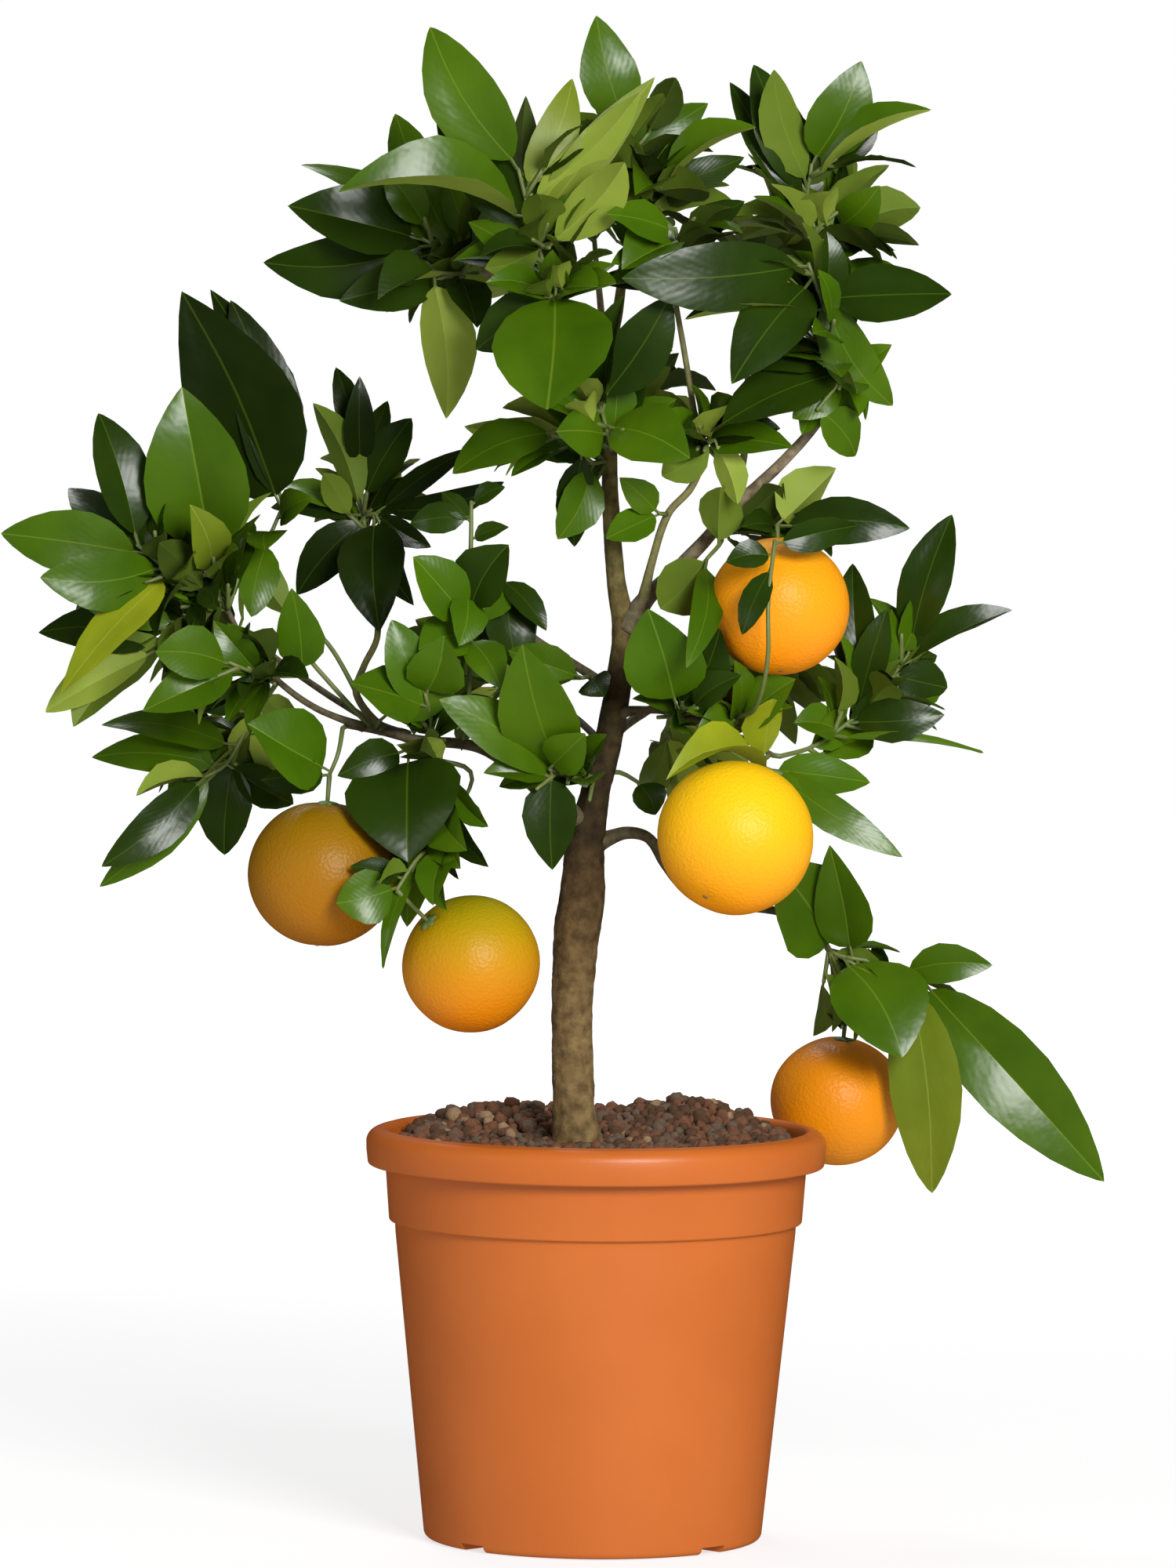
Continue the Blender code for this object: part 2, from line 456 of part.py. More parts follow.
def make_pot(collection, cutters):
    """A spun cup with a rolled rim, a collar under it, and slots and holes that drain its foot."""
    lip = RIM_TOP - RIM_ROUNDING
    outside = RIM_RADIUS - RIM_ROUNDING
    inside_radius = COLLAR_RADIUS - WALL
    foot = FOOT_RADIUS - FOOT_ROUNDING
    profile = [
        (0, FLOOR), (FOOT_RADIUS - WALL - SHOULDER, FLOOR),
        (BODY_RADIUS - WALL, COLLAR_BOTTOM - SHOULDER), (COLLAR_FOOT_RADIUS - WALL, COLLAR_BOTTOM + WALL),
        (inside_radius, RIM_BOTTOM), (inside_radius + SHOULDER, lip),
        *arc((inside_radius + SHOULDER + LIP_INNER_ROUNDING, lip), LIP_INNER_ROUNDING, 135, 90, 1),
        *arc((outside, lip - SHOULDER), RIM_ROUNDING + SHOULDER, 80, 0, 3),
        (RIM_RADIUS - EDGE / 3, RIM_BOTTOM + EDGE), (RIM_RADIUS - WALL, RIM_BOTTOM),
        (COLLAR_RADIUS, RIM_BOTTOM),
        (COLLAR_FOOT_RADIUS, COLLAR_BOTTOM + EDGE), (COLLAR_FOOT_RADIUS - EDGE, COLLAR_BOTTOM),
        (BODY_RADIUS, COLLAR_BOTTOM - SHOULDER),
        *arc((foot, FOOT_ROUNDING), FOOT_ROUNDING, 0, -90, 2), (0, 0)]
    terracotta = material("terracotta_plastic", (0.62, 0.2, 0.06), 0.42)
    pot = turned("pot", profile, POT_STEPS, collection, terracotta)
    for i in range(DRAIN_COUNT):
        turn = Matrix.Rotation(math.radians(45 + 360 * i / DRAIN_COUNT), 4, "Z")
        length = FOOT_RADIUS - DRAIN_INNER + DRAIN_PAST_FOOT
        shape = bmesh.new()
        slot = Matrix.Translation(point((DRAIN_INNER + length / 2, 0, 0)))
        sides = Matrix.Diagonal((*(point((length, DRAIN_WIDTH, 2 * DRAIN_DEPTH))), 1))
        bmesh.ops.create_cube(shape, size=1, matrix=turn @ slot @ sides)
        cut_by(pot, "drain_slot", shape, cutters)
        shape = bmesh.new()
        at = turn @ Matrix.Translation(point((DRAIN_HOLE_AT, 0, FLOOR / 2)))
        bmesh.ops.create_cone(shape, cap_ends=True, segments=DRAIN_HOLE_STEPS,
                              radius1=DRAIN_HOLE_RADIUS * MM, radius2=DRAIN_HOLE_RADIUS * MM,
                              depth=4 * FLOOR * MM, matrix=at)
        cut_by(pot, "drain_hole", shape, cutters)
    return pot


def cut_by(piece, name, shape, cutters):
    """Cuts the shape out of the piece."""
    mesh = bpy.data.meshes.new(name)
    shape.to_mesh(mesh)
    shape.free()
    put(name, mesh, cutters)
    boolean(piece, "DIFFERENCE", cutters)


def soil_height(x, y):
    """The soil's surface: it rises to the back, with heaps and lumps, and is flat where the trunk stands."""
    height = SOIL_RISE * min(max(y / SOIL_RISE_OVER, 0), 1)
    for (heap_x, heap_y), spread, top in HEAPS:
        height += top * math.exp(-((x - heap_x) ** 2 + (y - heap_y) ** 2) / (2 * spread**2))
    height += LUMP_HEIGHT * noise.noise(Vector((x, y, 0)) / LUMP_SPREAD)
    away = math.hypot(x - TRUNK[0][0], y - TRUNK[0][1])
    return SOIL_LEVEL + height * min(max((away - TRUNK_SEAT) / SEAT_EDGE, 0), 1)


def make_soil(collection):
    """A plug that fills the pot to its wall, with its top raised ring by ring."""
    inset = WALL + SOIL_CLEARANCE
    edge = COLLAR_RADIUS - inset
    inner = TRUNK_SEAT - SEAT_EDGE
    step = (edge - inner) / SOIL_RINGS
    profile = [(0, SOIL_LEVEL), *((inner + step * i, SOIL_LEVEL) for i in range(SOIL_RINGS + 1)),
               (edge - GAP, RIM_BOTTOM), (COLLAR_FOOT_RADIUS - inset - GAP, COLLAR_BOTTOM + WALL),
               (BODY_RADIUS - inset - GAP, COLLAR_BOTTOM - SHOULDER),
               (FOOT_RADIUS - inset - 2 * SHOULDER, FLOOR + GAP), (0, FLOOR + GAP)]
    granules = material("clay_granules", (0.2, 0.11, 0.07), 0.9)
    soil = turned("soil", profile, SOIL_STEPS, collection, granules)
    for corner in soil.data.vertices:
        if corner.co.z > RIM_BOTTOM * MM + SAME_POINT:
            corner.co.z = soil_height(corner.co.x / MM, corner.co.y / MM) * MM
    return soil


def smooth_path(points, steps):
    """Points along a smooth curve through these, with each bend kept to the length of its span."""
    points = [Vector(p) for p in points]
    if len(points) < 3:
        return points
    ends = [points[0] * 2 - points[1], *points, points[-1] * 2 - points[-2]]
    headings = [(after - before).normalized() for before, after in zip(ends, ends[2:])]
    path = []
    for start, end, leave, arrive in zip(points, points[1:], headings, headings[1:]):
        span = (end - start).length
        for step in range(steps):
            t = step / steps
            path.append(start * (1 + t * t * (2 * t - 3)) + leave * span * t * (1 - t) ** 2
                        + end * t * t * (3 - 2 * t) - arrive * span * t * t * (1 - t))
    return [*path, points[-1]]


def tube(name, path, radii, sides, collection, *materials):
    """A closed tapering limb along the path, from a curve that carries a regular outline."""
    ring = bpy.data.curves.new("outline", "CURVE")
    outline = ring.splines.new("POLY")
    outline.points.add(sides - 1)
    for i, corner in enumerate(outline.points):
        turn = 2 * math.pi * i / sides
        corner.co = (math.cos(turn), math.sin(turn), 0, 1)
    outline.use_cyclic_u = True
    curve = bpy.data.curves.new(name, "CURVE")
    curve.dimensions = "3D"
    curve.bevel_mode = "OBJECT"
    curve.bevel_object = bpy.data.objects.new("outline", ring)
    curve.use_fill_caps = True
    spline = curve.splines.new("POLY")
    spline.points.add(len(path) - 1)
    for at, place, radius in zip(spline.points, path, radii):
        at.co = (*point(place), 1)
        at.radius = radius * MM
    guide = bpy.data.objects.new(name, curve)
    collection.objects.link(guide)
    collection.objects.link(curve.bevel_object)
    bpy.context.view_layer.update()
    mesh = bpy.data.meshes.new_from_object(guide.evaluated_get(bpy.context.evaluated_depsgraph_get()))
    bpy.data.objects.remove(curve.bevel_object)
    bpy.data.objects.remove(guide)
    shape = bmesh.new()
    shape.from_mesh(mesh)
    bmesh.ops.remove_doubles(shape, verts=shape.verts, dist=SAME_POINT)
    bmesh.ops.recalc_face_normals(shape, faces=shape.faces)
    shape.to_mesh(mesh)
    shape.free()
    mesh.materials.clear()
    return put(name, mesh, collection, *materials)


def blend(first, last, count):
    """That many radii from the first to the last."""
    return [first + (last - first) * i / (count - 1) for i in range(count)]


def limb_routes():
    """Each limb's smooth path and the radius at each of its points."""
    routes = {"trunk": (smooth_path(TRUNK, 1), TRUNK_RADII)}
    for name, (_, (thick, thin), points) in BOUGHS.items():
        path = smooth_path(points, 1 if len(points) > MANY_POINTS else STEPS_PER_SPAN)
        routes[name] = (path, blend(thick, thin, len(path)))
    return routes


def make_limbs(routes, collection, cutters):
    """The trunk, and each bough with its foot cut back to a gap from the limb that it leaves."""
    bark = material("bark", (0.19, 0.12, 0.06), 0.85)
    young_bark = material("young_bark", (0.16, 0.13, 0.05), 0.75)
    tube("trunk", *routes["trunk"], TRUNK_SIDES, collection, bark)
    for name, (parent, _, _) in BOUGHS.items():
        bough = tube(name, *routes[name], BOUGH_SIDES, collection, young_bark)
        path, radii = routes[parent]
        sides = TRUNK_SIDES if parent == "trunk" else BOUGH_SIDES
        tube("notch", path, [radius + GAP for radius in radii], sides, cutters)
        boolean(bough, "DIFFERENCE", cutters)
        drop_scraps(bough)


def leaf_mesh(leaf, margin=0.0):
    """Corners and faces of one leaf: two blades that fold up from a thick midrib, wide at each station."""
    base, tip, facing, width, arch, stations = leaf
    along = tip - base
    length = along.length
    along = along / length
    normal = (facing - along * facing.dot(along)).normalized()
    side = normal.cross(along)
    base = base - along * ROOT
    thick = length * LEAF_THICKNESS / 2 + margin

    def at(share, across, lift):
        rise = 4 * share * (1 - share) * arch * length + abs(across) * math.tan(FOLD) + lift
        return base + along * (share * (length + ROOT)) + side * across + normal * rise

    corners = [base, tip]
    upper = []
    last = (0, 0, 0)
    for share, fullness in stations:
        half = width / 2 * fullness + margin
        corners += [at(share, half, 0), at(share, -half, 0), at(share, 0, thick), at(share, 0, -thick)]
        left, right, ridge = len(corners) - 4, len(corners) - 3, len(corners) - 2
        upper += [(last[1], right, ridge), (last[0], ridge, left)]
        if last[2]:
            upper += [(last[1], ridge, last[2]), (last[0], last[2], ridge)]
        last = (left, right, ridge)
    upper += [(last[2], last[1], 1), (last[0], last[2], 1)]
    ridges = set(range(4, len(corners), 4))
    under = [tuple(i + 1 if i in ridges else i for i in reversed(face)) for face in upper]
    return [tuple(corner * MM for corner in corners), upper + under]


def shape_of(piece):
    """Corners and faces of a piece that stands unturned at the origin."""
    return [v.co.copy() for v in piece.data.vertices], [tuple(p.vertices) for p in piece.data.polygons]


class Crown:
    """What has grown so far, to keep each mass clear of the limbs and of the other masses."""

    def __init__(self, limbs):
        self.limbs = [BVHTree.FromPolygons(*shape_of(limb)) for limb in limbs]
        self.grown = []

    def add(self, owner, corners, faces, outer=None):
        low = [min(c[i] for c in corners) for i in range(3)]
        high = [max(c[i] for c in corners) for i in range(3)]
        self.grown.append((owner, low, high, BVHTree.FromPolygons(corners, faces), outer))

    def is_clear(self, owner, corners, faces, outer=None):
        tree = BVHTree.FromPolygons(corners, faces)
        if any(tree.overlap(limb) for limb in self.limbs):
            return False
        low = [min(c[i] for c in corners) for i in range(3)]
        high = [max(c[i] for c in corners) for i in range(3)]
        for other, other_low, other_high, other_tree, other_outer in self.grown:
            if any(low[i] > other_high[i] or high[i] < other_low[i] for i in range(3)):
                continue
            if other != owner:
                if tree.overlap(other_tree):
                    return False
            elif outer and other_outer and outer.overlap(other_outer):
                return False
        return True

    def try_leaf(self, owner, leaf):
        """Adds the leaf if it is clear of all else."""
        corners, faces = leaf_mesh(leaf, CLEARANCE)
        outer_faces = [face for face in faces if 0 not in face]
        outer = BVHTree.FromPolygons(corners, outer_faces)
        if not self.is_clear(owner, corners, faces, outer):
            return False
        corners, faces = leaf_mesh(leaf)
        self.add(owner, corners, faces, BVHTree.FromPolygons(corners, outer_faces))
        return True


def in_sky(place):
    return any(((place.x - x) / half_x) ** 2 + ((place.z - z) / half_z) ** 2 < 1
               for (x, z), (half_x, half_z) in SKY)


def in_space(place, space):
    middle, half = space
    return sum(((place[i] - middle[i]) / half[i]) ** 2 for i in range(3)) < 1


def nearest_on(paths, place):
    """The nearest point on any of the paths, and the direction there."""
    best = None
    for path in paths:
        for start, end in zip(path, path[1:]):
            span = end - start
            share = min(max((place - start).dot(span) / span.length_squared, 0), 1)
            spot = start + span * share
            if best is None or (spot - place).length < (best[0] - place).length:
                best = (spot, span.normalized())
    return best


def stem_start(mass, routes):
    """Where the mass's stem meets its limb: past the limb's tip, or out of its side, a gap away."""
    path, radii = routes[mass.limb]
    first = Vector(mass.shoots[0].path[0])
    spot, direction = nearest_on([path], first)
    if (spot - path[-1]).length < AT_TIP:
        heading = (path[-1] - path[-2]).normalized()
        start = path[-1] + heading * GAP
        return [start, start + heading * COLLAR]
    nearest = min(range(len(path)), key=lambda i: (path[i] - spot).length)
    outward = first - spot
    outward = (outward - direction * outward.dot(direction)).normalized()
    start = spot + outward * (radii[nearest] + GAP + STEM_CLEARANCE)
    return [start, start + outward * COLLAR]


def along_path(path, distance):
    """The point that far back from the path's tip, and the direction of growth there."""
    for end, start in zip(reversed(path), reversed(path[:-1])):
        span = end - start
        if distance <= span.length:
            return end - span * (distance / span.length), span.normalized()
        distance -= span.length
    return path[0], (path[1] - path[0]).normalized()


def across(direction, turn):
    """A unit vector square to the direction, turned about it."""
    level = direction.cross(Vector((0, 0, 1)))
    level = level.normalized() if level.length > 0.1 else Vector((1, 0, 0))
    return Matrix.Rotation(turn, 3, direction) @ level


def grow_leaves(crown, name, mass, path, first, count, length, chance):
    """Leaves by the 3/8 rule, closing up towards the tip; one that has no room is turned, then left out."""
    grown = []
    start_turn = chance.uniform(0, 2 * math.pi)
    for k in range(first, first + count):
        base, direction = along_path(path, FIRST_NODE + k * NODE_SPACING)
        spread = TIP_SPREAD + (FULL_SPREAD - TIP_SPREAD) * min(k / SPREAD_NODES, 1)
        reach = length * chance.uniform(*LENGTHS)
        facing = direction + Vector((chance.uniform(*LEAN_ACROSS), chance.uniform(*LEAN_FORWARD), 1)) * LIFT
        for turn in TURNS:
            out = across(direction, start_turn + k * PHYLLOTAXIS + math.radians(turn))
            heading = direction * math.cos(spread) + out * math.sin(spread)
            tip = base + heading * reach
            middle = base + heading * (reach / 2)
            if any(in_sky(spot) or not in_space(spot, mass.space) for spot in (middle, tip)):
                continue
            leaf = (base, tip, facing, reach * WIDTH_RATIO, PLAIN_ARCH, (PLAIN_STATION,))
            if crown.try_leaf(name, leaf):
                grown.append(leaf)
                break
    return grown


def place_marked(crown, name, path, shoot):
    """The leaves that mark the outline, one node apart from the shoot's tip down."""
    grown = []
    for k, marked in enumerate(shoot.marked):
        base, _ = along_path(path, FIRST_NODE + k * NODE_SPACING)
        for shift in DEPTH_SHIFTS:
            tip = Vector(marked.tip) + Vector((0, shift, 0))
            leaf = (base, tip, marked.facing, marked.width, marked.arch, MARKED_STATIONS)
            if crown.try_leaf(name, leaf):
                grown.append(leaf)
                break
    return grown


def grow_twigs(mass, routes):
    """The stem and its shoots, each from the nearest point of what has grown before it."""
    twigs = []
    for shoot in mass.shoots:
        points = [Vector(p) for p in shoot.path]
        if twigs:
            twigs.append([nearest_on(twigs, points[0])[0], *points])
        else:
            start, collar = stem_start(mass, routes)
            twigs.append([start, *smooth_path([collar, *points], STEPS_PER_SPAN)])
    if mass.orange:
        centre = Vector(mass.orange.centre)
        start, _ = nearest_on(twigs, centre)
        inward = (start - centre).normalized() * (mass.orange.radius - STALK_IN_PEEL)
        twigs.append([start, centre + inward])
    return twigs


def side_twigs(path, shoot, chance):
    """Short twigs out of the shoot's side, at random turns."""
    made = []
    for i in range(shoot.side):
        start, direction = along_path(path, SIDE_TWIG_LENGTH * (SIDE_TWIG_FIRST + SIDE_TWIG_APART * i))
        out = across(direction, chance.uniform(0, 2 * math.pi))
        made.append([start, start + (direction + out).normalized() * SIDE_TWIG_LENGTH])
    return made


def make_twig(crown, name, path, parts):
    """A three-sided twig, or nothing where it would touch a limb or another mass."""
    twig = tube("twig", path, blend(TWIG_RADIUS, TWIG_TIP_RADIUS, len(path)), TWIG_SIDES, parts)
    parts.objects.unlink(twig)
    if not crown.is_clear(name, *shape_of(twig)):
        bpy.data.objects.remove(twig)
        return None
    crown.add(name, *shape_of(twig))
    return twig


def make_orange(crown, name, orange):
    """A slightly flattened ball."""
    shape = bmesh.new()
    size = Matrix.Diagonal((1, 1, ORANGE_HEIGHT, 1))
    bmesh.ops.create_uvsphere(shape, u_segments=ORANGE_STEPS, v_segments=ORANGE_RINGS,
                              radius=orange.radius * MM,
                              matrix=Matrix.Translation(point(orange.centre)) @ size)
    mesh = bpy.data.meshes.new("orange")
    shape.to_mesh(mesh)
    shape.free()
    ball = bpy.data.objects.new("orange", mesh)
    crown.add(name, *shape_of(ball))
    return ball


def grow(crown, routes, parts):
    """Each mass's pieces and leaves: every stem and orange first, then the leaves that mark the outline,
    then side twigs and the other leaves."""
    shoots = {name: grow_twigs(mass, routes) for name, mass in MASSES.items()}
    chances = {name: random.Random(name) for name in MASSES}
    pieces = {}
    leaves = {}
    for name, mass in MASSES.items():
        pieces[name] = [make_twig(crown, name, path, parts) for path in shoots[name]]
        if mass.orange:
            pieces[name].append(make_orange(crown, name, mass.orange))
    for name, mass in MASSES.items():
        leaves[name] = []
        for path, shoot in zip(shoots[name], mass.shoots):
            leaves[name] += place_marked(crown, name, path, shoot)
    for name, mass in MASSES.items():
        for path, shoot in zip(shoots[name], mass.shoots):
            for side in side_twigs(path, shoot, chances[name]):
                twig = make_twig(crown, name, side, parts)
                if twig:
                    pieces[name].append(twig)
                    leaves[name] += grow_leaves(crown, name, mass, side, 0, SIDE_TWIG_LEAVES, shoot.length,
                                                chances[name])
            leaves[name] += grow_leaves(crown, name, mass, path, len(shoot.marked), shoot.leaves,
                                        shoot.length, chances[name])
    return pieces, leaves


def make_foliage(routes, limbs, collection, parts):
    """Joins each mass from its twigs, leaves and orange."""
    green = material("leaf", (0.06, 0.18, 0.02), 0.35)
    peel = material("orange_peel", (0.9, 0.34, 0.02), 0.5)
    pieces, leaves = grow(Crown(limbs), routes, parts)
    for name, mass in MASSES.items():
        stem = pieces[name][0]
        stem.name = name
        collection.objects.link(stem)
        for piece in pieces[name][1:]:
            parts.objects.link(piece)
        for leaf in leaves[name]:
            corners, faces = leaf_mesh(leaf)
            mesh = bpy.data.meshes.new("leaf")
            mesh.from_pydata(corners, [], faces)
            put("leaf", mesh, parts)
        boolean(stem, "UNION", parts, "MANIFOLD")
        drop_scraps(stem)
        stem.data.materials.clear()
        for finish in (green, peel):
            stem.data.materials.append(finish)
        if mass.orange:
            centre, reach = point(mass.orange.centre), (mass.orange.radius + 1) * MM
            for face in stem.data.polygons:
                face.material_index = int((face.center - centre).length < reach)


def main():
    """Builds the plant's nodes in one collection."""
    for left_over in list(bpy.data.objects):
        bpy.data.objects.remove(left_over)
    tree = bpy.data.collections.new("potted_orange_tree")
    cutters = bpy.data.collections.new("cutters")
    parts = bpy.data.collections.new("leaves_and_twigs")
    for collection in (tree, cutters, parts):
        bpy.context.scene.collection.children.link(collection)
    pot = make_pot(tree, cutters)
    soil = make_soil(tree)
    routes = limb_routes()
    make_limbs(routes, tree, cutters)
    obstacles = [pot, soil] + [tree.objects[name] for name in routes]
    make_foliage(routes, obstacles, tree, parts)
    for piece in tree.objects:
        piece.data.shade_smooth()
        piece.data.set_sharp_from_angle(angle=SHARP_ANGLE)
    for collection in (cutters, parts):
        bpy.data.collections.remove(collection)


main()
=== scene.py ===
import math
import random
from collections import namedtuple

import bmesh
import bpy
import numpy as np
from mathutils import Matrix, Vector, noise
from mathutils.bvhtree import BVHTree


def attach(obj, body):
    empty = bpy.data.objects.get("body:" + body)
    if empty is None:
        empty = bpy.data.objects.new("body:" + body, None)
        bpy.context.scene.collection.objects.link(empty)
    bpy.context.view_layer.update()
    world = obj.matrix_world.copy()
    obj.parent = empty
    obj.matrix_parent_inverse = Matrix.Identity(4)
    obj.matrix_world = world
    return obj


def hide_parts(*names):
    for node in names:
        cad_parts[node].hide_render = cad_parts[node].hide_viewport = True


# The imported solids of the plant: a pot with its soil, a trunk with boughs, and masses of foliage.
# Lengths in the tables of this file are millimetres, as on the plant, and MM turns them into metres.
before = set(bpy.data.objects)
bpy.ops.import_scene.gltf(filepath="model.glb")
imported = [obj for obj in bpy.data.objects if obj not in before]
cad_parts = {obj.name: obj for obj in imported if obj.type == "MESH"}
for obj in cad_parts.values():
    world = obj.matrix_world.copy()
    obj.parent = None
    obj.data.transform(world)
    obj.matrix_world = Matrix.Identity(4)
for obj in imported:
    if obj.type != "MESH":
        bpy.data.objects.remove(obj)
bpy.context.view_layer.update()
MM = 0.001
bpy.ops.object.select_all(action="DESELECT")

# The camera stands 4.3 m in front of the plant, a little above its middle, and looks down by 3 degrees
# through a long lens. It leans by half a degree, as the photograph does.
CAMERA_PLACE = (-0.0055, -4.3, 0.60)
CAMERA_PITCH = math.radians(3.18)
CAMERA_ROLL = math.radians(0.53)
CAMERA_LENS = 207.3
camera_data = bpy.data.cameras.new("camera")
camera_data.sensor_fit = "VERTICAL"
camera_data.sensor_height = 36
camera_data.lens = CAMERA_LENS
camera_data.clip_end = 200
camera = bpy.data.objects.new("camera", camera_data)
bpy.context.scene.collection.objects.link(camera)
camera.matrix_world = (Matrix.Translation(CAMERA_PLACE)
                       @ Matrix.Rotation(math.radians(90) - CAMERA_PITCH, 4, "X")
                       @ Matrix.Rotation(CAMERA_ROLL, 4, "Z"))
bpy.context.scene.camera = camera


# Soft studio light: a large soft box at the right of the camera and above it, a small weak one at the
# left, one above and behind for the leaves' sheen, and even light from all round that isn't mirrored.
def soft_box(name, place, aim, width, power, tint=(1, 1, 1)):
    light = bpy.data.lights.new(name, "AREA")
    light.size = width
    light.energy = power
    light.color = tint
    lamp = bpy.data.objects.new(name, light)
    lamp.location = place
    lamp.rotation_euler = (Vector(aim) - Vector(place)).to_track_quat("-Z", "Y").to_euler()
    bpy.context.scene.collection.objects.link(lamp)


AIM = (0, 0, 0.4)
soft_box("key_light", (1.0, -2.5, 1.35), AIM, 1.0, 98)
soft_box("fill_light", (-2.2, -1.6, 1.1), AIM, 0.8, 5)
soft_box("top_light", (-0.5, 1.4, 2.5), AIM, 1.0, 24)
surround = bpy.data.worlds.new("surround")
surround.use_nodes = True
surround.node_tree.nodes["Background"].inputs["Color"].default_value = (1, 1, 1, 1)
surround.node_tree.nodes["Background"].inputs["Strength"].default_value = 0.33
bpy.context.scene.world = surround
surround.cycles_visibility.glossy = False
bpy.context.scene.view_settings.view_transform = "Standard"


# A plain white floor that melts into a white backdrop all round. The backdrop is a ball that only the
# camera sees, so it lights nothing.
def glowing(name, colour, strength):
    made = bpy.data.materials.new(name)
    made.use_nodes = True
    shader = made.node_tree.nodes["Principled BSDF"]
    shader.inputs["Base Color"].default_value = (*colour, 1)
    shader.inputs["Roughness"].default_value = 0.9
    shader.inputs["Specular IOR Level"].default_value = 0
    shader.inputs["Emission Color"].default_value = (1, 1, 1, 1)
    shader.inputs["Emission Strength"].default_value = strength
    return made


FLOOR_RADIUS = 6
FLOOR_GLOW = 0.7
MELT_START = 0.4
MELT_END = 2.6
bpy.ops.mesh.primitive_circle_add(vertices=96, radius=FLOOR_RADIUS, fill_type="NGON", location=(0, 0, -0.0002))
floor = bpy.context.active_object
floor.name = "floor"
bpy.ops.object.transform_apply(location=True)
floor_paint = glowing("floor_paint", (0.3, 0.3, 0.3), 0)
nodes, links = floor_paint.node_tree.nodes, floor_paint.node_tree.links
place = nodes.new("ShaderNodeTexCoord")
distance = nodes.new("ShaderNodeVectorMath")
distance.operation = "LENGTH"
links.new(place.outputs["Object"], distance.inputs[0])
melt = nodes.new("ShaderNodeMapRange")
melt.interpolation_type = "SMOOTHSTEP"
melt.inputs["From Min"].default_value = MELT_START
melt.inputs["From Max"].default_value = MELT_END
melt.inputs["To Min"].default_value = FLOOR_GLOW
links.new(distance.outputs["Value"], melt.inputs["Value"])
links.new(melt.outputs["Result"], nodes["Principled BSDF"].inputs["Emission Strength"])
floor.data.materials.append(floor_paint)
floor.visible_glossy = False
bpy.ops.mesh.primitive_uv_sphere_add(segments=48, ring_count=24, radius=25)
backdrop = bpy.context.active_object
backdrop.name = "backdrop"
backdrop.data.materials.append(glowing("backdrop_white", (0, 0, 0), 1))
backdrop.visible_diffuse = backdrop.visible_glossy = backdrop.visible_shadow = False
backdrop.visible_transmission = False


# The pot is one moulding of terracotta-coloured plastic, 22 cm across its rolled rim. A collar under the
# rim steps in to the tapering wall. Four shallow slots under the foot lead to the drain holes.
RIM_RADIUS = 110
RIM_TOP = 196.5
RIM_BOTTOM = 179
COLLAR_RADIUS = 100.6
COLLAR_FOOT_RADIUS = 98.8
COLLAR_BOTTOM = 152.5
BODY_RADIUS = 95.9
FOOT_RADIUS = 81
WALL = 2.2
POT_FLOOR = 6
POT_STEPS = 144
DRAIN_WIDTH = 15
DRAIN_DEPTH = 3.6
DRAIN_INNER = 34
DRAIN_HOLE_RADIUS = 4.5
DRAIN_HOLE_AT = 52


def arc(centre, radius, start, end, count):
    """(radius, height) points on a round corner, from one angle to another in degrees."""
    angles = [math.radians(start + (end - start) * i / count) for i in range(count + 1)]
    return [(centre[0] + radius * math.cos(a), centre[1] + radius * math.sin(a)) for a in angles]


def only(piece):
    """Selects the piece and nothing else, and makes it the active one."""
    bpy.ops.object.select_all(action="DESELECT")
    piece.select_set(True)
    bpy.context.view_layer.objects.active = piece


def spun(name, profile, steps):
    """A closed solid of revolution from (radius, height) points that start and end on the axis."""
    mesh = bpy.data.meshes.new(name)
    mesh.from_pydata([(r * MM, 0, z * MM) for r, z in profile], [(i, i + 1) for i in range(len(profile) - 1)], [])
    piece = bpy.data.objects.new(name, mesh)
    bpy.context.scene.collection.objects.link(piece)
    only(piece)
    bpy.ops.object.mode_set(mode="EDIT")
    bpy.ops.mesh.select_all(action="SELECT")
    bpy.ops.mesh.spin(steps=steps, angle=2 * math.pi, center=(0, 0, 0), axis=(0, 0, 1))
    bpy.ops.mesh.select_all(action="SELECT")
    bpy.ops.mesh.remove_doubles(threshold=1e-6)
    bpy.ops.mesh.normals_make_consistent(inside=False)
    bpy.ops.object.mode_set(mode="OBJECT")
    return piece


def cut_away(piece, cutter):
    """Cuts the cutter's shape from the piece and removes the cutter."""
    change = piece.modifiers.new("cut", "BOOLEAN")
    change.object = cutter
    change.solver = "EXACT"
    only(piece)
    bpy.ops.object.modifier_apply(modifier=change.name)
    bpy.data.objects.remove(cutter)


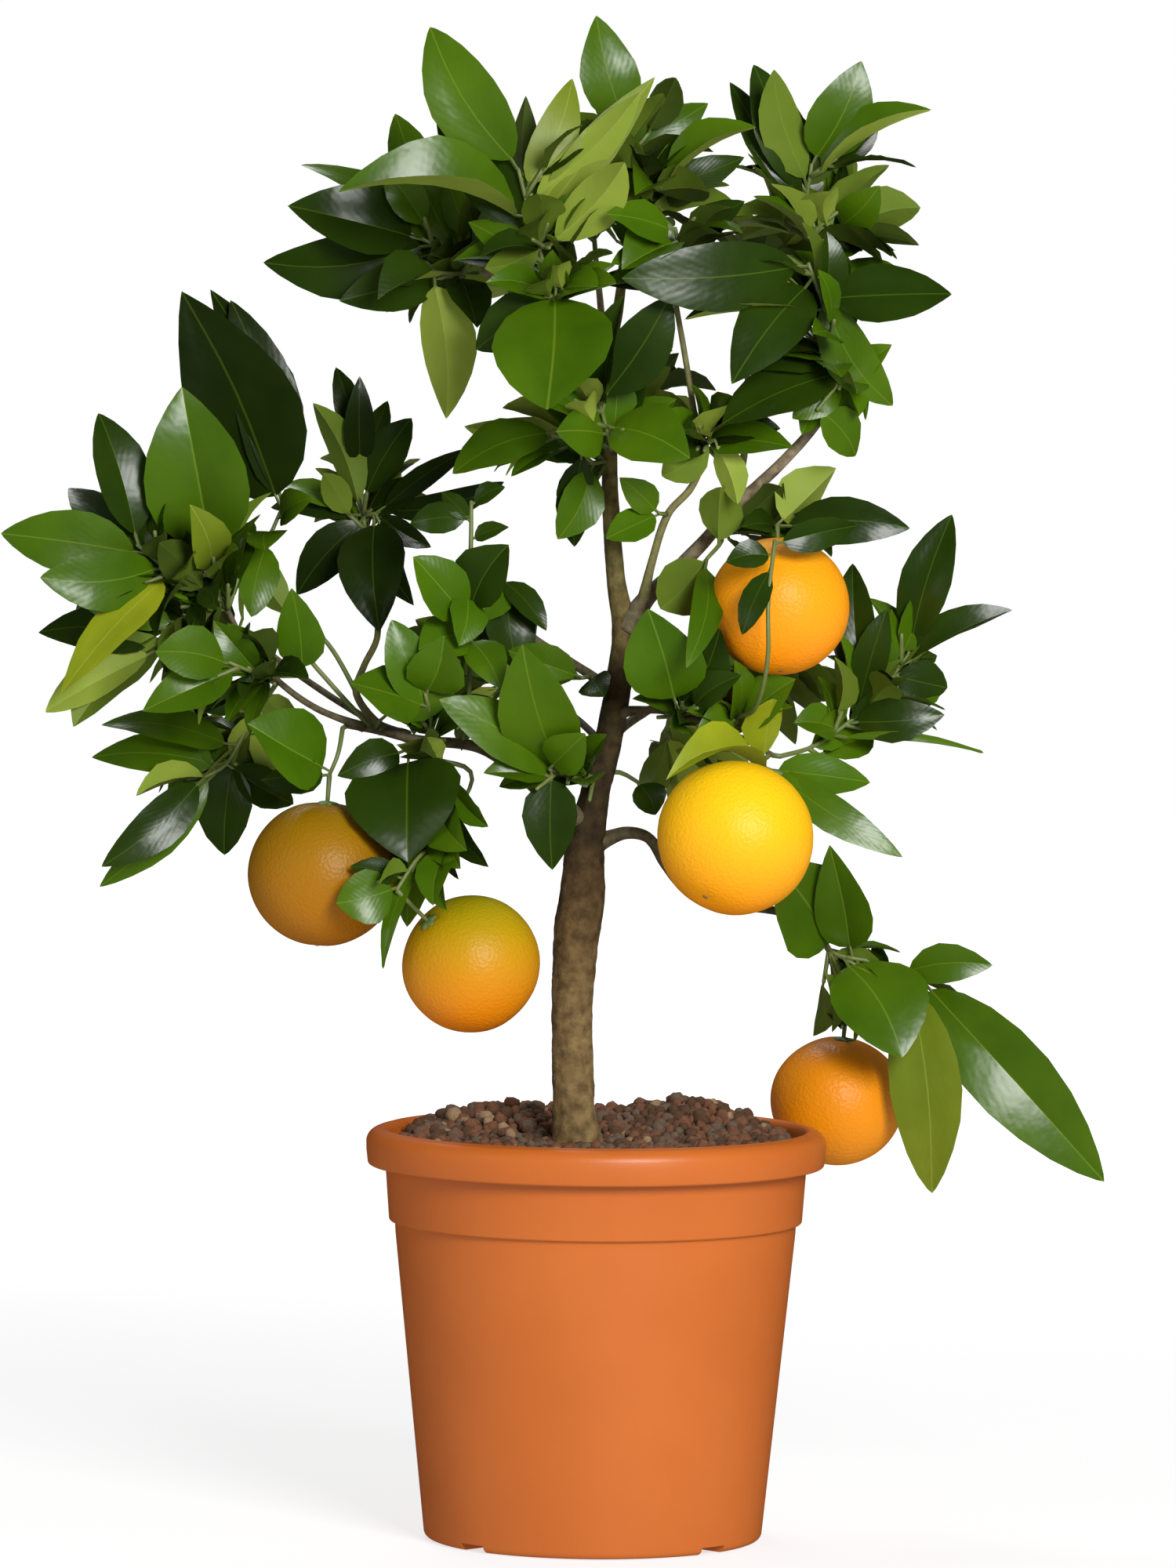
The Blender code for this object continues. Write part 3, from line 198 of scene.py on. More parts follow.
def pot_profile():
    """Down the inside from the rim's crest is last: the outline runs from the underside up and over."""
    inside = COLLAR_RADIUS - WALL
    outer = [(0, 0), *arc((77.5, 3.5), 3.5, -90, 0, 6)]
    outer += [(BODY_RADIUS - 0.25, COLLAR_BOTTOM - 6), *arc((BODY_RADIUS + 1.2, COLLAR_BOTTOM - 1.7), 1.2, 180, 90, 4)]
    outer += arc((COLLAR_FOOT_RADIUS - 1, COLLAR_BOTTOM + 0.6), 1, -90, 0, 4)
    outer += [(COLLAR_RADIUS, RIM_BOTTOM - 1.2), *arc((COLLAR_RADIUS + 1.2, RIM_BOTTOM - 1.2), 1.2, 180, 90, 3)]
    outer += [*arc((RIM_RADIUS - 2.2, RIM_BOTTOM + 1.4), 1.4, -90, -10, 4), (RIM_RADIUS - 0.15, RIM_BOTTOM + 7)]
    outer += arc((RIM_RADIUS - 6.5, RIM_TOP - 7), 6.5, 8, 90, 9)
    outer += arc((inside + 4.2, RIM_TOP - 3.4), 3.4, 90, 180, 6)
    outer += [(inside, RIM_BOTTOM), (COLLAR_FOOT_RADIUS - WALL, COLLAR_BOTTOM + 2)]
    outer += [(BODY_RADIUS - WALL, COLLAR_BOTTOM - 2), (FOOT_RADIUS - WALL, POT_FLOOR), (0, POT_FLOOR)]
    return outer


pot = spun("nursery_pot", pot_profile(), POT_STEPS)
for quarter in range(4):
    turn = math.radians(45 + 90 * quarter)
    middle = (DRAIN_INNER + FOOT_RADIUS + 10) / 2 * MM
    bpy.ops.mesh.primitive_cube_add(location=(middle * math.cos(turn), middle * math.sin(turn), 0))
    slot = bpy.context.active_object
    slot.rotation_euler.z = turn
    slot.scale = ((FOOT_RADIUS + 10 - DRAIN_INNER) / 2 * MM, DRAIN_WIDTH / 2 * MM, DRAIN_DEPTH * MM)
    cut_away(pot, slot)
    hole_at = DRAIN_HOLE_AT * MM
    bpy.ops.mesh.primitive_cylinder_add(vertices=32, radius=DRAIN_HOLE_RADIUS * MM, depth=4 * POT_FLOOR * MM,
                                        location=(hole_at * math.cos(turn), hole_at * math.sin(turn), 0))
    cut_away(pot, bpy.context.active_object)
only(pot)
bpy.ops.object.shade_smooth_by_angle(angle=math.radians(40))


def paint(name, colour, roughness, other=None, scale=300, share=0.5, bump=0.0, bump_scale=900, coat=0.0,
          specular=0.5):
    """A Principled material whose colour wanders to another one, with fine relief, by Object coordinates."""
    made = bpy.data.materials.new(name)
    made.use_nodes = True
    nodes, links = made.node_tree.nodes, made.node_tree.links
    shader = nodes["Principled BSDF"]
    shader.inputs["Roughness"].default_value = roughness
    shader.inputs["Specular IOR Level"].default_value = specular
    shader.inputs["Coat Weight"].default_value = coat
    shader.inputs["Coat Roughness"].default_value = 0.2
    place = nodes.new("ShaderNodeTexCoord")
    spread = nodes.new("ShaderNodeTexNoise")
    spread.inputs["Scale"].default_value = scale
    spread.inputs["Detail"].default_value = 3
    links.new(place.outputs["Object"], spread.inputs["Vector"])
    ramp = nodes.new("ShaderNodeValToRGB")
    ramp.color_ramp.elements[0].position = 0.5 - share / 2
    ramp.color_ramp.elements[1].position = 0.5 + share / 2
    ramp.color_ramp.elements[0].color = (*colour, 1)
    ramp.color_ramp.elements[1].color = (*(other or colour), 1)
    links.new(spread.outputs["Fac"], ramp.inputs["Fac"])
    links.new(ramp.outputs["Color"], shader.inputs["Base Color"])
    if bump:
        grain = nodes.new("ShaderNodeTexNoise")
        grain.inputs["Scale"].default_value = bump_scale
        grain.inputs["Detail"].default_value = 4
        links.new(place.outputs["Object"], grain.inputs["Vector"])
        relief = nodes.new("ShaderNodeBump")
        relief.inputs["Strength"].default_value = 1
        relief.inputs["Distance"].default_value = bump * MM
        links.new(grain.outputs["Fac"], relief.inputs["Height"])
        links.new(relief.outputs["Normal"], shader.inputs["Normal"])
    made.diffuse_color = (*colour, 1)
    return made


pot.data.materials.append(paint("terracotta_plastic", (0.43, 0.10, 0.012), 0.4, (0.48, 0.118, 0.017), 14, 0.5,
                                0.05, 1400, specular=0.35))
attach(pot, "root")
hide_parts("pot")


# The soil is a plug of brown mix up to a finger's breadth under the rim, heaped behind the trunk. Its top
# is covered with loose clay granules 3 to 6 mm across, and a few paler ones lie at the left.
SOIL_LEVEL = 187.5
SOIL_RISE = 7
SOIL_RISE_OVER = 70
HEAPS = (((44, 56), 20, 9), ((-38, 58), 24, 5))
LUMP_HEIGHT = 5
LUMP_SPREAD = 9
TRUNK_FOOT = (-9, 0)
TRUNK_FOOT_RADIUS = 12.4
TRUNK_SEAT = 25
SEAT_EDGE = 10
SOIL_EDGE = COLLAR_RADIUS - WALL - 0.8
SOIL_RINGS = 34
GRANULE_PITCH = 4.3
PALE_PATCH = ((-58, 38), 18)


def soil_height(x, y):
    """The soil's surface: it rises to the back, with heaps and lumps, and is flat where the trunk stands."""
    height = SOIL_RISE * min(max(y / SOIL_RISE_OVER, 0), 1)
    for (heap_x, heap_y), spread, top in HEAPS:
        height += top * math.exp(-((x - heap_x) ** 2 + (y - heap_y) ** 2) / (2 * spread**2))
    height += LUMP_HEIGHT * noise.noise(Vector((x, y, 0)) / LUMP_SPREAD)
    away = math.hypot(x - TRUNK_FOOT[0], y - TRUNK_FOOT[1])
    return SOIL_LEVEL + height * min(max((away - TRUNK_SEAT) / SEAT_EDGE, 0), 1)


top = [(SOIL_EDGE * i / SOIL_RINGS, SOIL_LEVEL) for i in range(SOIL_RINGS + 1)]
soil = spun("soil_mix", [(0, POT_FLOOR + 0.3), (FOOT_RADIUS - WALL - 2, POT_FLOOR + 0.3),
                         (BODY_RADIUS - WALL - 0.9, COLLAR_BOTTOM - 3), (SOIL_EDGE - 0.3, RIM_BOTTOM),
                         *reversed(top)], 96)
for corner in soil.data.vertices:
    if corner.co.z > (SOIL_LEVEL - 1) * MM:
        x, y = corner.co.x / MM, corner.co.y / MM
        crumbs = noise.noise(Vector((x, y, 0)) * 0.25) * 0.9
        corner.co.z = (soil_height(x, y) - 0.8 + crumbs) * MM
only(soil)
bpy.ops.object.shade_smooth()
soil.data.materials.append(paint("soil_mix", (0.05, 0.03, 0.02), 0.95, (0.12, 0.07, 0.045), 260, 0.5, 0.8, 700))
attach(soil, "root")
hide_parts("soil")

# One granule is a rounded cube of 24 faces. Copies of it lie over the whole surface, each turned and
# stretched by chance, and half sunk.
bpy.ops.mesh.primitive_cube_add(size=2)
granule = bpy.context.active_object
bpy.ops.object.mode_set(mode="EDIT")
bpy.ops.mesh.subdivide(number_cuts=1)
bpy.ops.transform.tosphere(value=0.75)
bpy.ops.object.mode_set(mode="OBJECT")
granule_points = np.array([tuple(v.co) for v in granule.data.vertices])
granule_faces = [tuple(p.vertices) for p in granule.data.polygons]
bpy.data.objects.remove(granule)


def joined(name, points, faces, slots, materials, uvs=None):
    """One smooth-shaded mesh object of many copies: their points, faces and each face's material slot."""
    mesh = bpy.data.meshes.new(name)
    mesh.from_pydata(points, [], faces)
    for finish in materials:
        mesh.materials.append(finish)
    mesh.polygons.foreach_set("material_index", slots)
    if uvs is not None:
        layer = mesh.uv_layers.new(name="leaf")
        corners = np.empty(len(mesh.loops), np.int32)
        mesh.loops.foreach_get("vertex_index", corners)
        layer.data.foreach_set("uv", np.asarray(uvs, np.float32)[corners].ravel())
    mesh.shade_smooth()
    mesh.validate()
    piece = bpy.data.objects.new(name, mesh)
    bpy.context.scene.collection.objects.link(piece)
    return piece


chance = random.Random(5)
points, faces, slots = [], [], []
rows = int(SOIL_EDGE / GRANULE_PITCH)
for row in range(-rows, rows + 1):
    for column in range(-rows, rows + 1):
        x = (column + 0.5 * (row % 2) + chance.uniform(-0.35, 0.35)) * GRANULE_PITCH
        y = (row * 0.9 + chance.uniform(-0.35, 0.35)) * GRANULE_PITCH
        across_foot = math.hypot(x - TRUNK_FOOT[0], y - TRUNK_FOOT[1])
        if math.hypot(x, y) > SOIL_EDGE - 2.5 or across_foot < TRUNK_FOOT_RADIUS:
            continue
        radius = chance.uniform(1.5, 2.9)
        turn = Matrix.Rotation(chance.uniform(0, 6.28), 3, Vector((chance.random(), chance.random(), 1)))
        shape = granule_points * [chance.uniform(0.75, 1.25) for _ in range(3)] * radius
        lift = soil_height(x, y) + chance.uniform(-0.5, 0.7)
        placed = shape @ np.array(turn).T + [x, y, lift]
        faces += [tuple(i + len(points) for i in face) for face in granule_faces]
        points += [tuple(p) for p in placed * MM]
        pale = math.hypot(x - PALE_PATCH[0][0], y - PALE_PATCH[0][1]) < PALE_PATCH[1]
        tone = 3 if pale and chance.random() < 0.2 else chance.choice((0, 0, 1, 1, 1, 2, 2, 3 if chance.random() < 0.3 else 0))
        slots += [tone] * len(granule_faces)
granules = joined("soil_granules", points, faces, slots, [
    paint("granule_brown", (0.055, 0.028, 0.014), 0.9, (0.10, 0.05, 0.026), 500, 0.5, 0.4, 1500, specular=0.2),
    paint("granule_red", (0.11, 0.045, 0.022), 0.9, (0.17, 0.075, 0.04), 500, 0.5, 0.4, 1500, specular=0.2),
    paint("granule_grey", (0.085, 0.055, 0.035), 0.9, (0.13, 0.09, 0.06), 500, 0.5, 0.4, 1500, specular=0.2),
    paint("granule_pale", (0.20, 0.12, 0.06), 0.9, (0.30, 0.20, 0.11), 500, 0.5, 0.4, 1500, specular=0.2)])
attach(granules, "root")


# The trunk is as thick as a thumb. It swells at the old graft, leans to the right above it and runs up
# through the crown, with grey-brown bark in fine upright ridges.
TRUNK = ((-9, 0, 187.8), (-9, 0, 190.5), (-10, 0, 197), (-11, 0.2, 208), (-12, 2, 263), (-10, 3, 291),
         (-8, 3, 308), (-6, 2, 335), (-1, 0, 361), (4, -2, 382), (9, -3, 412), (11, -1, 434),
         (7, 2, 458), (4, 4, 496), (3, 5, 533), (2, 6, 559), (7, 8, 589), (9, 8, 609))
TRUNK_RADII = (12.4, 11.8, 10.6, 9.6, 9.3, 10.9, 10.2, 8.6, 6.5, 6.3, 6.0, 5.6, 4.3, 3.8, 3.3, 2.9, 2.4, 2.0)
TRUNK_SIDES = 40
BARK_RIDGE = 0.07
BARK_LUMP = 0.05
BARK_SWELL = 1.04
# Painted shade on the trunk: darker upward from 240 mm and deepest from 335 to 410 mm, where the crown and oranges
# shade it; the greener tint at the top is the young bark's own colour.
BARK_PAINTED_SHADE = ((240, (1, 1, 0.9)), (275, (0.70, 0.66, 0.56)), (312, (0.52, 0.46, 0.38)), (335, (0.20, 0.19, 0.15)),
               (410, (0.22, 0.23, 0.17)), (428, (0.57, 0.62, 0.48)), (470, (0.72, 0.88, 0.62)))


def smooth_path(points, steps):
    """Points along a smooth curve through these, with each bend kept to the length of its span."""
    points = [Vector(p) for p in points]
    if len(points) < 3:
        return points
    ends = [points[0] * 2 - points[1], *points, points[-1] * 2 - points[-2]]
    headings = [(after - before).normalized() for before, after in zip(ends, ends[2:])]
    path = []
    for start, end, leave, arrive in zip(points, points[1:], headings, headings[1:]):
        span = (end - start).length
        for step in range(steps):
            t = step / steps
            path.append(start * (1 + t * t * (2 * t - 3)) + leave * span * t * (1 - t) ** 2
                        + end * t * t * (3 - 2 * t) - arrive * span * t * t * (1 - t))
    return [*path, points[-1]]


def spaced(path, radii, spacing):
    """The path and its radii again, at even steps of about the spacing."""
    path = np.array([tuple(p) for p in path])
    lengths = np.concatenate([[0], np.cumsum(np.linalg.norm(np.diff(path, axis=0), axis=1))])
    at = np.linspace(0, lengths[-1], max(int(lengths[-1] / spacing), 2) + 1)
    places = np.stack([np.interp(at, lengths, path[:, i]) for i in range(3)], 1)
    return places, np.interp(at, lengths, radii), at


def limb(path, radii, sides, spacing, relief=None):
    """Points and faces of a closed round limb along the path. relief(turn, distance) scales its radius."""
    places, thickness, at = spaced(path, radii, spacing)
    headings = np.gradient(places, axis=0)
    headings /= np.linalg.norm(headings, axis=1, keepdims=True)
    side = np.cross(headings[0], (0, 1, 0) if abs(headings[0][1]) < 0.9 else (1, 0, 0))
    points = [tuple(places[0])]
    turns = 2 * math.pi * np.arange(sides) / sides
    for place, radius, heading, distance in zip(places, thickness, headings, at):
        side = side - heading * side.dot(heading)
        side /= np.linalg.norm(side)
        other = np.cross(heading, side)
        for turn in turns:
            reach = radius * (relief(turn, distance) if relief else 1)
            points.append(tuple(place + side * math.cos(turn) * reach + other * math.sin(turn) * reach))
    points.append(tuple(places[-1] + headings[-1] * thickness[-1] * 0.7))
    faces = [(0, (k + 1) % sides + 1, k + 1) for k in range(sides)]
    for ring in range(len(places) - 1):
        first = 1 + ring * sides
        faces += [(first + k, first + (k + 1) % sides, first + sides + (k + 1) % sides, first + sides + k)
                  for k in range(sides)]
    last = len(points) - 1
    faces += [(last, last - sides + k, last - sides + (k + 1) % sides) for k in range(sides)]
    return points, faces


def bark_relief(seed, ridge, lump):
    """How far the bark stands out, round the limb and along it: upright ridges over slow lumps."""
    def relief(turn, distance):
        c, s = math.cos(turn), math.sin(turn)
        ridges = noise.noise(Vector((c * 5, s * 5, distance * 0.09 + seed)))
        cracks = noise.noise(Vector((c * 11, s * 11, distance * 0.3 + seed)))
        lumps = noise.noise(Vector((c * 1.2, s * 1.2, distance * 0.045 + seed * 3)))
        return 1 + ridge * ridges + ridge * 0.5 * cracks + lump * lumps
    return relief


def shaded(made, stops):
    """Multiplies a paint's colour by a painted shade that depends on the height. Each stop is a height and its shade.
    """
    nodes, links = made.node_tree.nodes, made.node_tree.links
    place = next(node for node in nodes if node.type == "TEX_COORD")
    colour = next(node for node in nodes if node.type == "VALTORGB")
    parts = nodes.new("ShaderNodeSeparateXYZ")
    links.new(place.outputs["Object"], parts.inputs["Vector"])
    low, high = stops[0][0], stops[-1][0]
    height = nodes.new("ShaderNodeMapRange")
    height.inputs["From Min"].default_value = low * MM
    height.inputs["From Max"].default_value = high * MM
    links.new(parts.outputs["Z"], height.inputs["Value"])
    shades = nodes.new("ShaderNodeValToRGB")
    marks = shades.color_ramp.elements
    for index, (level, shade) in enumerate(stops):
        mark = marks[index] if index < 2 else marks.new(1)
        mark.position = (level - low) / (high - low)
        mark.color = (*shade, 1)
    links.new(height.outputs["Result"], shades.inputs["Fac"])
    product = nodes.new("ShaderNodeMix")
    product.data_type = "RGBA"
    product.blend_type = "MULTIPLY"
    product.inputs["Factor"].default_value = 1
    links.new(colour.outputs["Color"], product.inputs["A"])
    links.new(shades.outputs["Color"], product.inputs["B"])
    links.new(product.outputs["Result"], nodes["Principled BSDF"].inputs["Base Color"])


trunk_path = smooth_path(TRUNK, 12)
trunk_radii = np.interp(np.arange(len(trunk_path)) / 12, range(len(TRUNK_RADII)), TRUNK_RADII)
points, faces = limb(trunk_path, trunk_radii * BARK_SWELL, TRUNK_SIDES, 2.4, bark_relief(3, BARK_RIDGE, BARK_LUMP))
bark = paint("bark", (0.085, 0.052, 0.022), 0.85, (0.21, 0.14, 0.06), 190, 0.35, 0.5, 900, specular=0.2)
# Darkens the trunk's bark by height with the painted shade of the crown.
shaded(bark, BARK_PAINTED_SHADE)
trunk = joined("trunk_bark", [tuple(MM * c for c in p) for p in points], faces, [0] * len(faces), [bark])
for corner in trunk.data.vertices:
    corner.co.z = max(corner.co.z, TRUNK[0][2] * MM)
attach(trunk, "root")
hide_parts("trunk")

# Sixteen boughs grow out of the trunk or out of one another, each a single tapering limb with a swollen
# foot. Their bark is thinner and browner, and turns green on the youngest.
BOUGHS = {
    "bough_left": ("trunk", (3.9, 1.6), ((-5, 1, 343), (-20, -4, 351), (-41, -12, 369), (-58, -14, 379),
                                         (-85, -15, 382), (-103, -17, 386), (-120, -18, 389))),
    "bough_left_high": ("trunk", (2.6, 1.4), ((9, -3, 402), (-2, 4, 411), (-16, 8, 420), (-32, 12, 430),
                                              (-42, 14, 440), (-46, 12, 451))),
    "bough_right": ("trunk", (4.3, 1.5), ((12, -1, 434), (20, 0, 448), (31, 4, 459), (46, 6, 474),
                                          (63, 0, 494), (86, -8, 516), (103, -12, 536), (112, -14, 553),
                                          (108, -16, 575))),
    "bough_right_inner": ("bough_right", (1.9, 1.3), ((63, 0, 494), (67, 8, 515), (70, 38, 541),
                                                      (68, 74, 574))),
    "bough_centre": ("bough_right", (2.1, 1.3), ((20, 0, 448), (23, -7, 464), (31, -13, 490), (42, -15, 503),
                                                 (47, -17, 517), (44, -19, 534), (39, -22, 563),
                                                 (34, -26, 590))),
    "bough_top_left": ("trunk", (2.3, 1.5), ((2, 6, 547), (-8, -12, 570), (-18, -26, 589), (-27, -36, 604))),
    "bough_far_left": ("trunk", (2.2, 1.4), ((3, 5, 525), (-8, 16, 551), (-26, 24, 579), (-44, 27, 597),
                                             (-59, 24, 605))),
    "bough_top_back": ("trunk", (2.2, 1.3), ((3, 5, 540), (1, 38, 566), (-2, 70, 593), (-4, 88, 611))),
    "bough_front": ("trunk", (2.0, 1.3), ((3, 5, 531), (-3, -26, 556), (-13, -52, 580), (-20, -66, 594))),
    "bough_left_up": ("bough_left", (1.8, 1.3), ((-103, -17, 386), (-116, -6, 403), (-113, 6, 416),
                                                 (-107, 20, 430), (-109, 34, 453), (-114, 50, 480))),
    "bough_left_upper": ("bough_left", (1.6, 1.4), ((-112, -17.5, 388), (-136, -26, 398), (-155, -24, 412),
                                                    (-170, -24, 430), (-177, -24, 443))),
    "bough_left_back": ("bough_left", (2.0, 1.3), ((-92, -16, 384), (-112, 14, 391), (-142, 55, 407),
                                                   (-173, 80, 428))),
    "bough_right_low": ("trunk", (3.3, 1.6), ((-5, 2, 331), (4, 2, 335), (14, 1, 338), (24, 4, 335),
                                              (32, 14, 322), (44, 28, 308), (67, 42, 301), (92, 54, 296),
                                              (105, 60, 288), (112, 64, 278))),
    "bough_right_mid": ("trunk", (2.1, 1.3), ((7, -3, 395), (18, -10, 397), (31, -15, 397), (50, -20, 392),
                                              (69, -24, 384), (82, -26, 377))),
    "bough_back": ("trunk", (2.4, 1.5), ((5, -2, 384), (17, 34, 391), (36, 70, 401), (53, 94, 410))),
    "bough_back_left": ("trunk", (2.0, 1.3), ((4, -2, 377), (-8, 28, 388), (-25, 60, 399), (-46, 84, 406))),
}
BOUGH_SIDES = 18
FOOT_SWELL = 0.55
FOOT_REACH = 5.5
# Painted shade on the boughs: darker below 430 mm, inside the crown.
YOUNG_BARK_PAINTED_SHADE = ((430, (0.45, 0.47, 0.38)), (490, (1, 1, 1)))
GREEN_BOUGHS = ("bough_left_up", "bough_right_inner", "bough_centre", "bough_top_left", "bough_front")

routes = {"trunk": (trunk_path, trunk_radii)}
points, faces, slots = [], [], []
for seed, (name, (parent, (thick, thin), course)) in enumerate(BOUGHS.items()):
    path = smooth_path(course, 8)
    radii = np.linspace(thick, thin, len(path))
    routes[name] = (path, radii)
    places, thickness, at = spaced(path, radii, 1.5)
    start = max(thick * 1.5, 4)
    swell = thickness * (1 + FOOT_SWELL * np.exp(-np.maximum(at - start, 0) / FOOT_REACH))
    limb_points, limb_faces = limb([Vector(p) for p in places], swell, BOUGH_SIDES, 2,
                                   bark_relief(seed * 7, 0.06, 0.09))
    faces += [tuple(i + len(points) for i in face) for face in limb_faces]
    points += [tuple(MM * c for c in p) for p in limb_points]
    slots += [int(name in GREEN_BOUGHS)] * len(limb_faces)
young_bark = paint("young_bark", (0.10, 0.075, 0.04), 0.75, (0.25, 0.20, 0.12), 260, 0.4, 0.3, 1200, specular=0.3)
shaded(young_bark, YOUNG_BARK_PAINTED_SHADE)
boughs = joined("boughs_bark", points, faces, slots, [
    young_bark,
    paint("green_bark", (0.12, 0.105, 0.035), 0.6, (0.17, 0.165, 0.05), 260, 0.4, 0.25, 1200)])
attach(boughs, "root")
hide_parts(*BOUGHS)


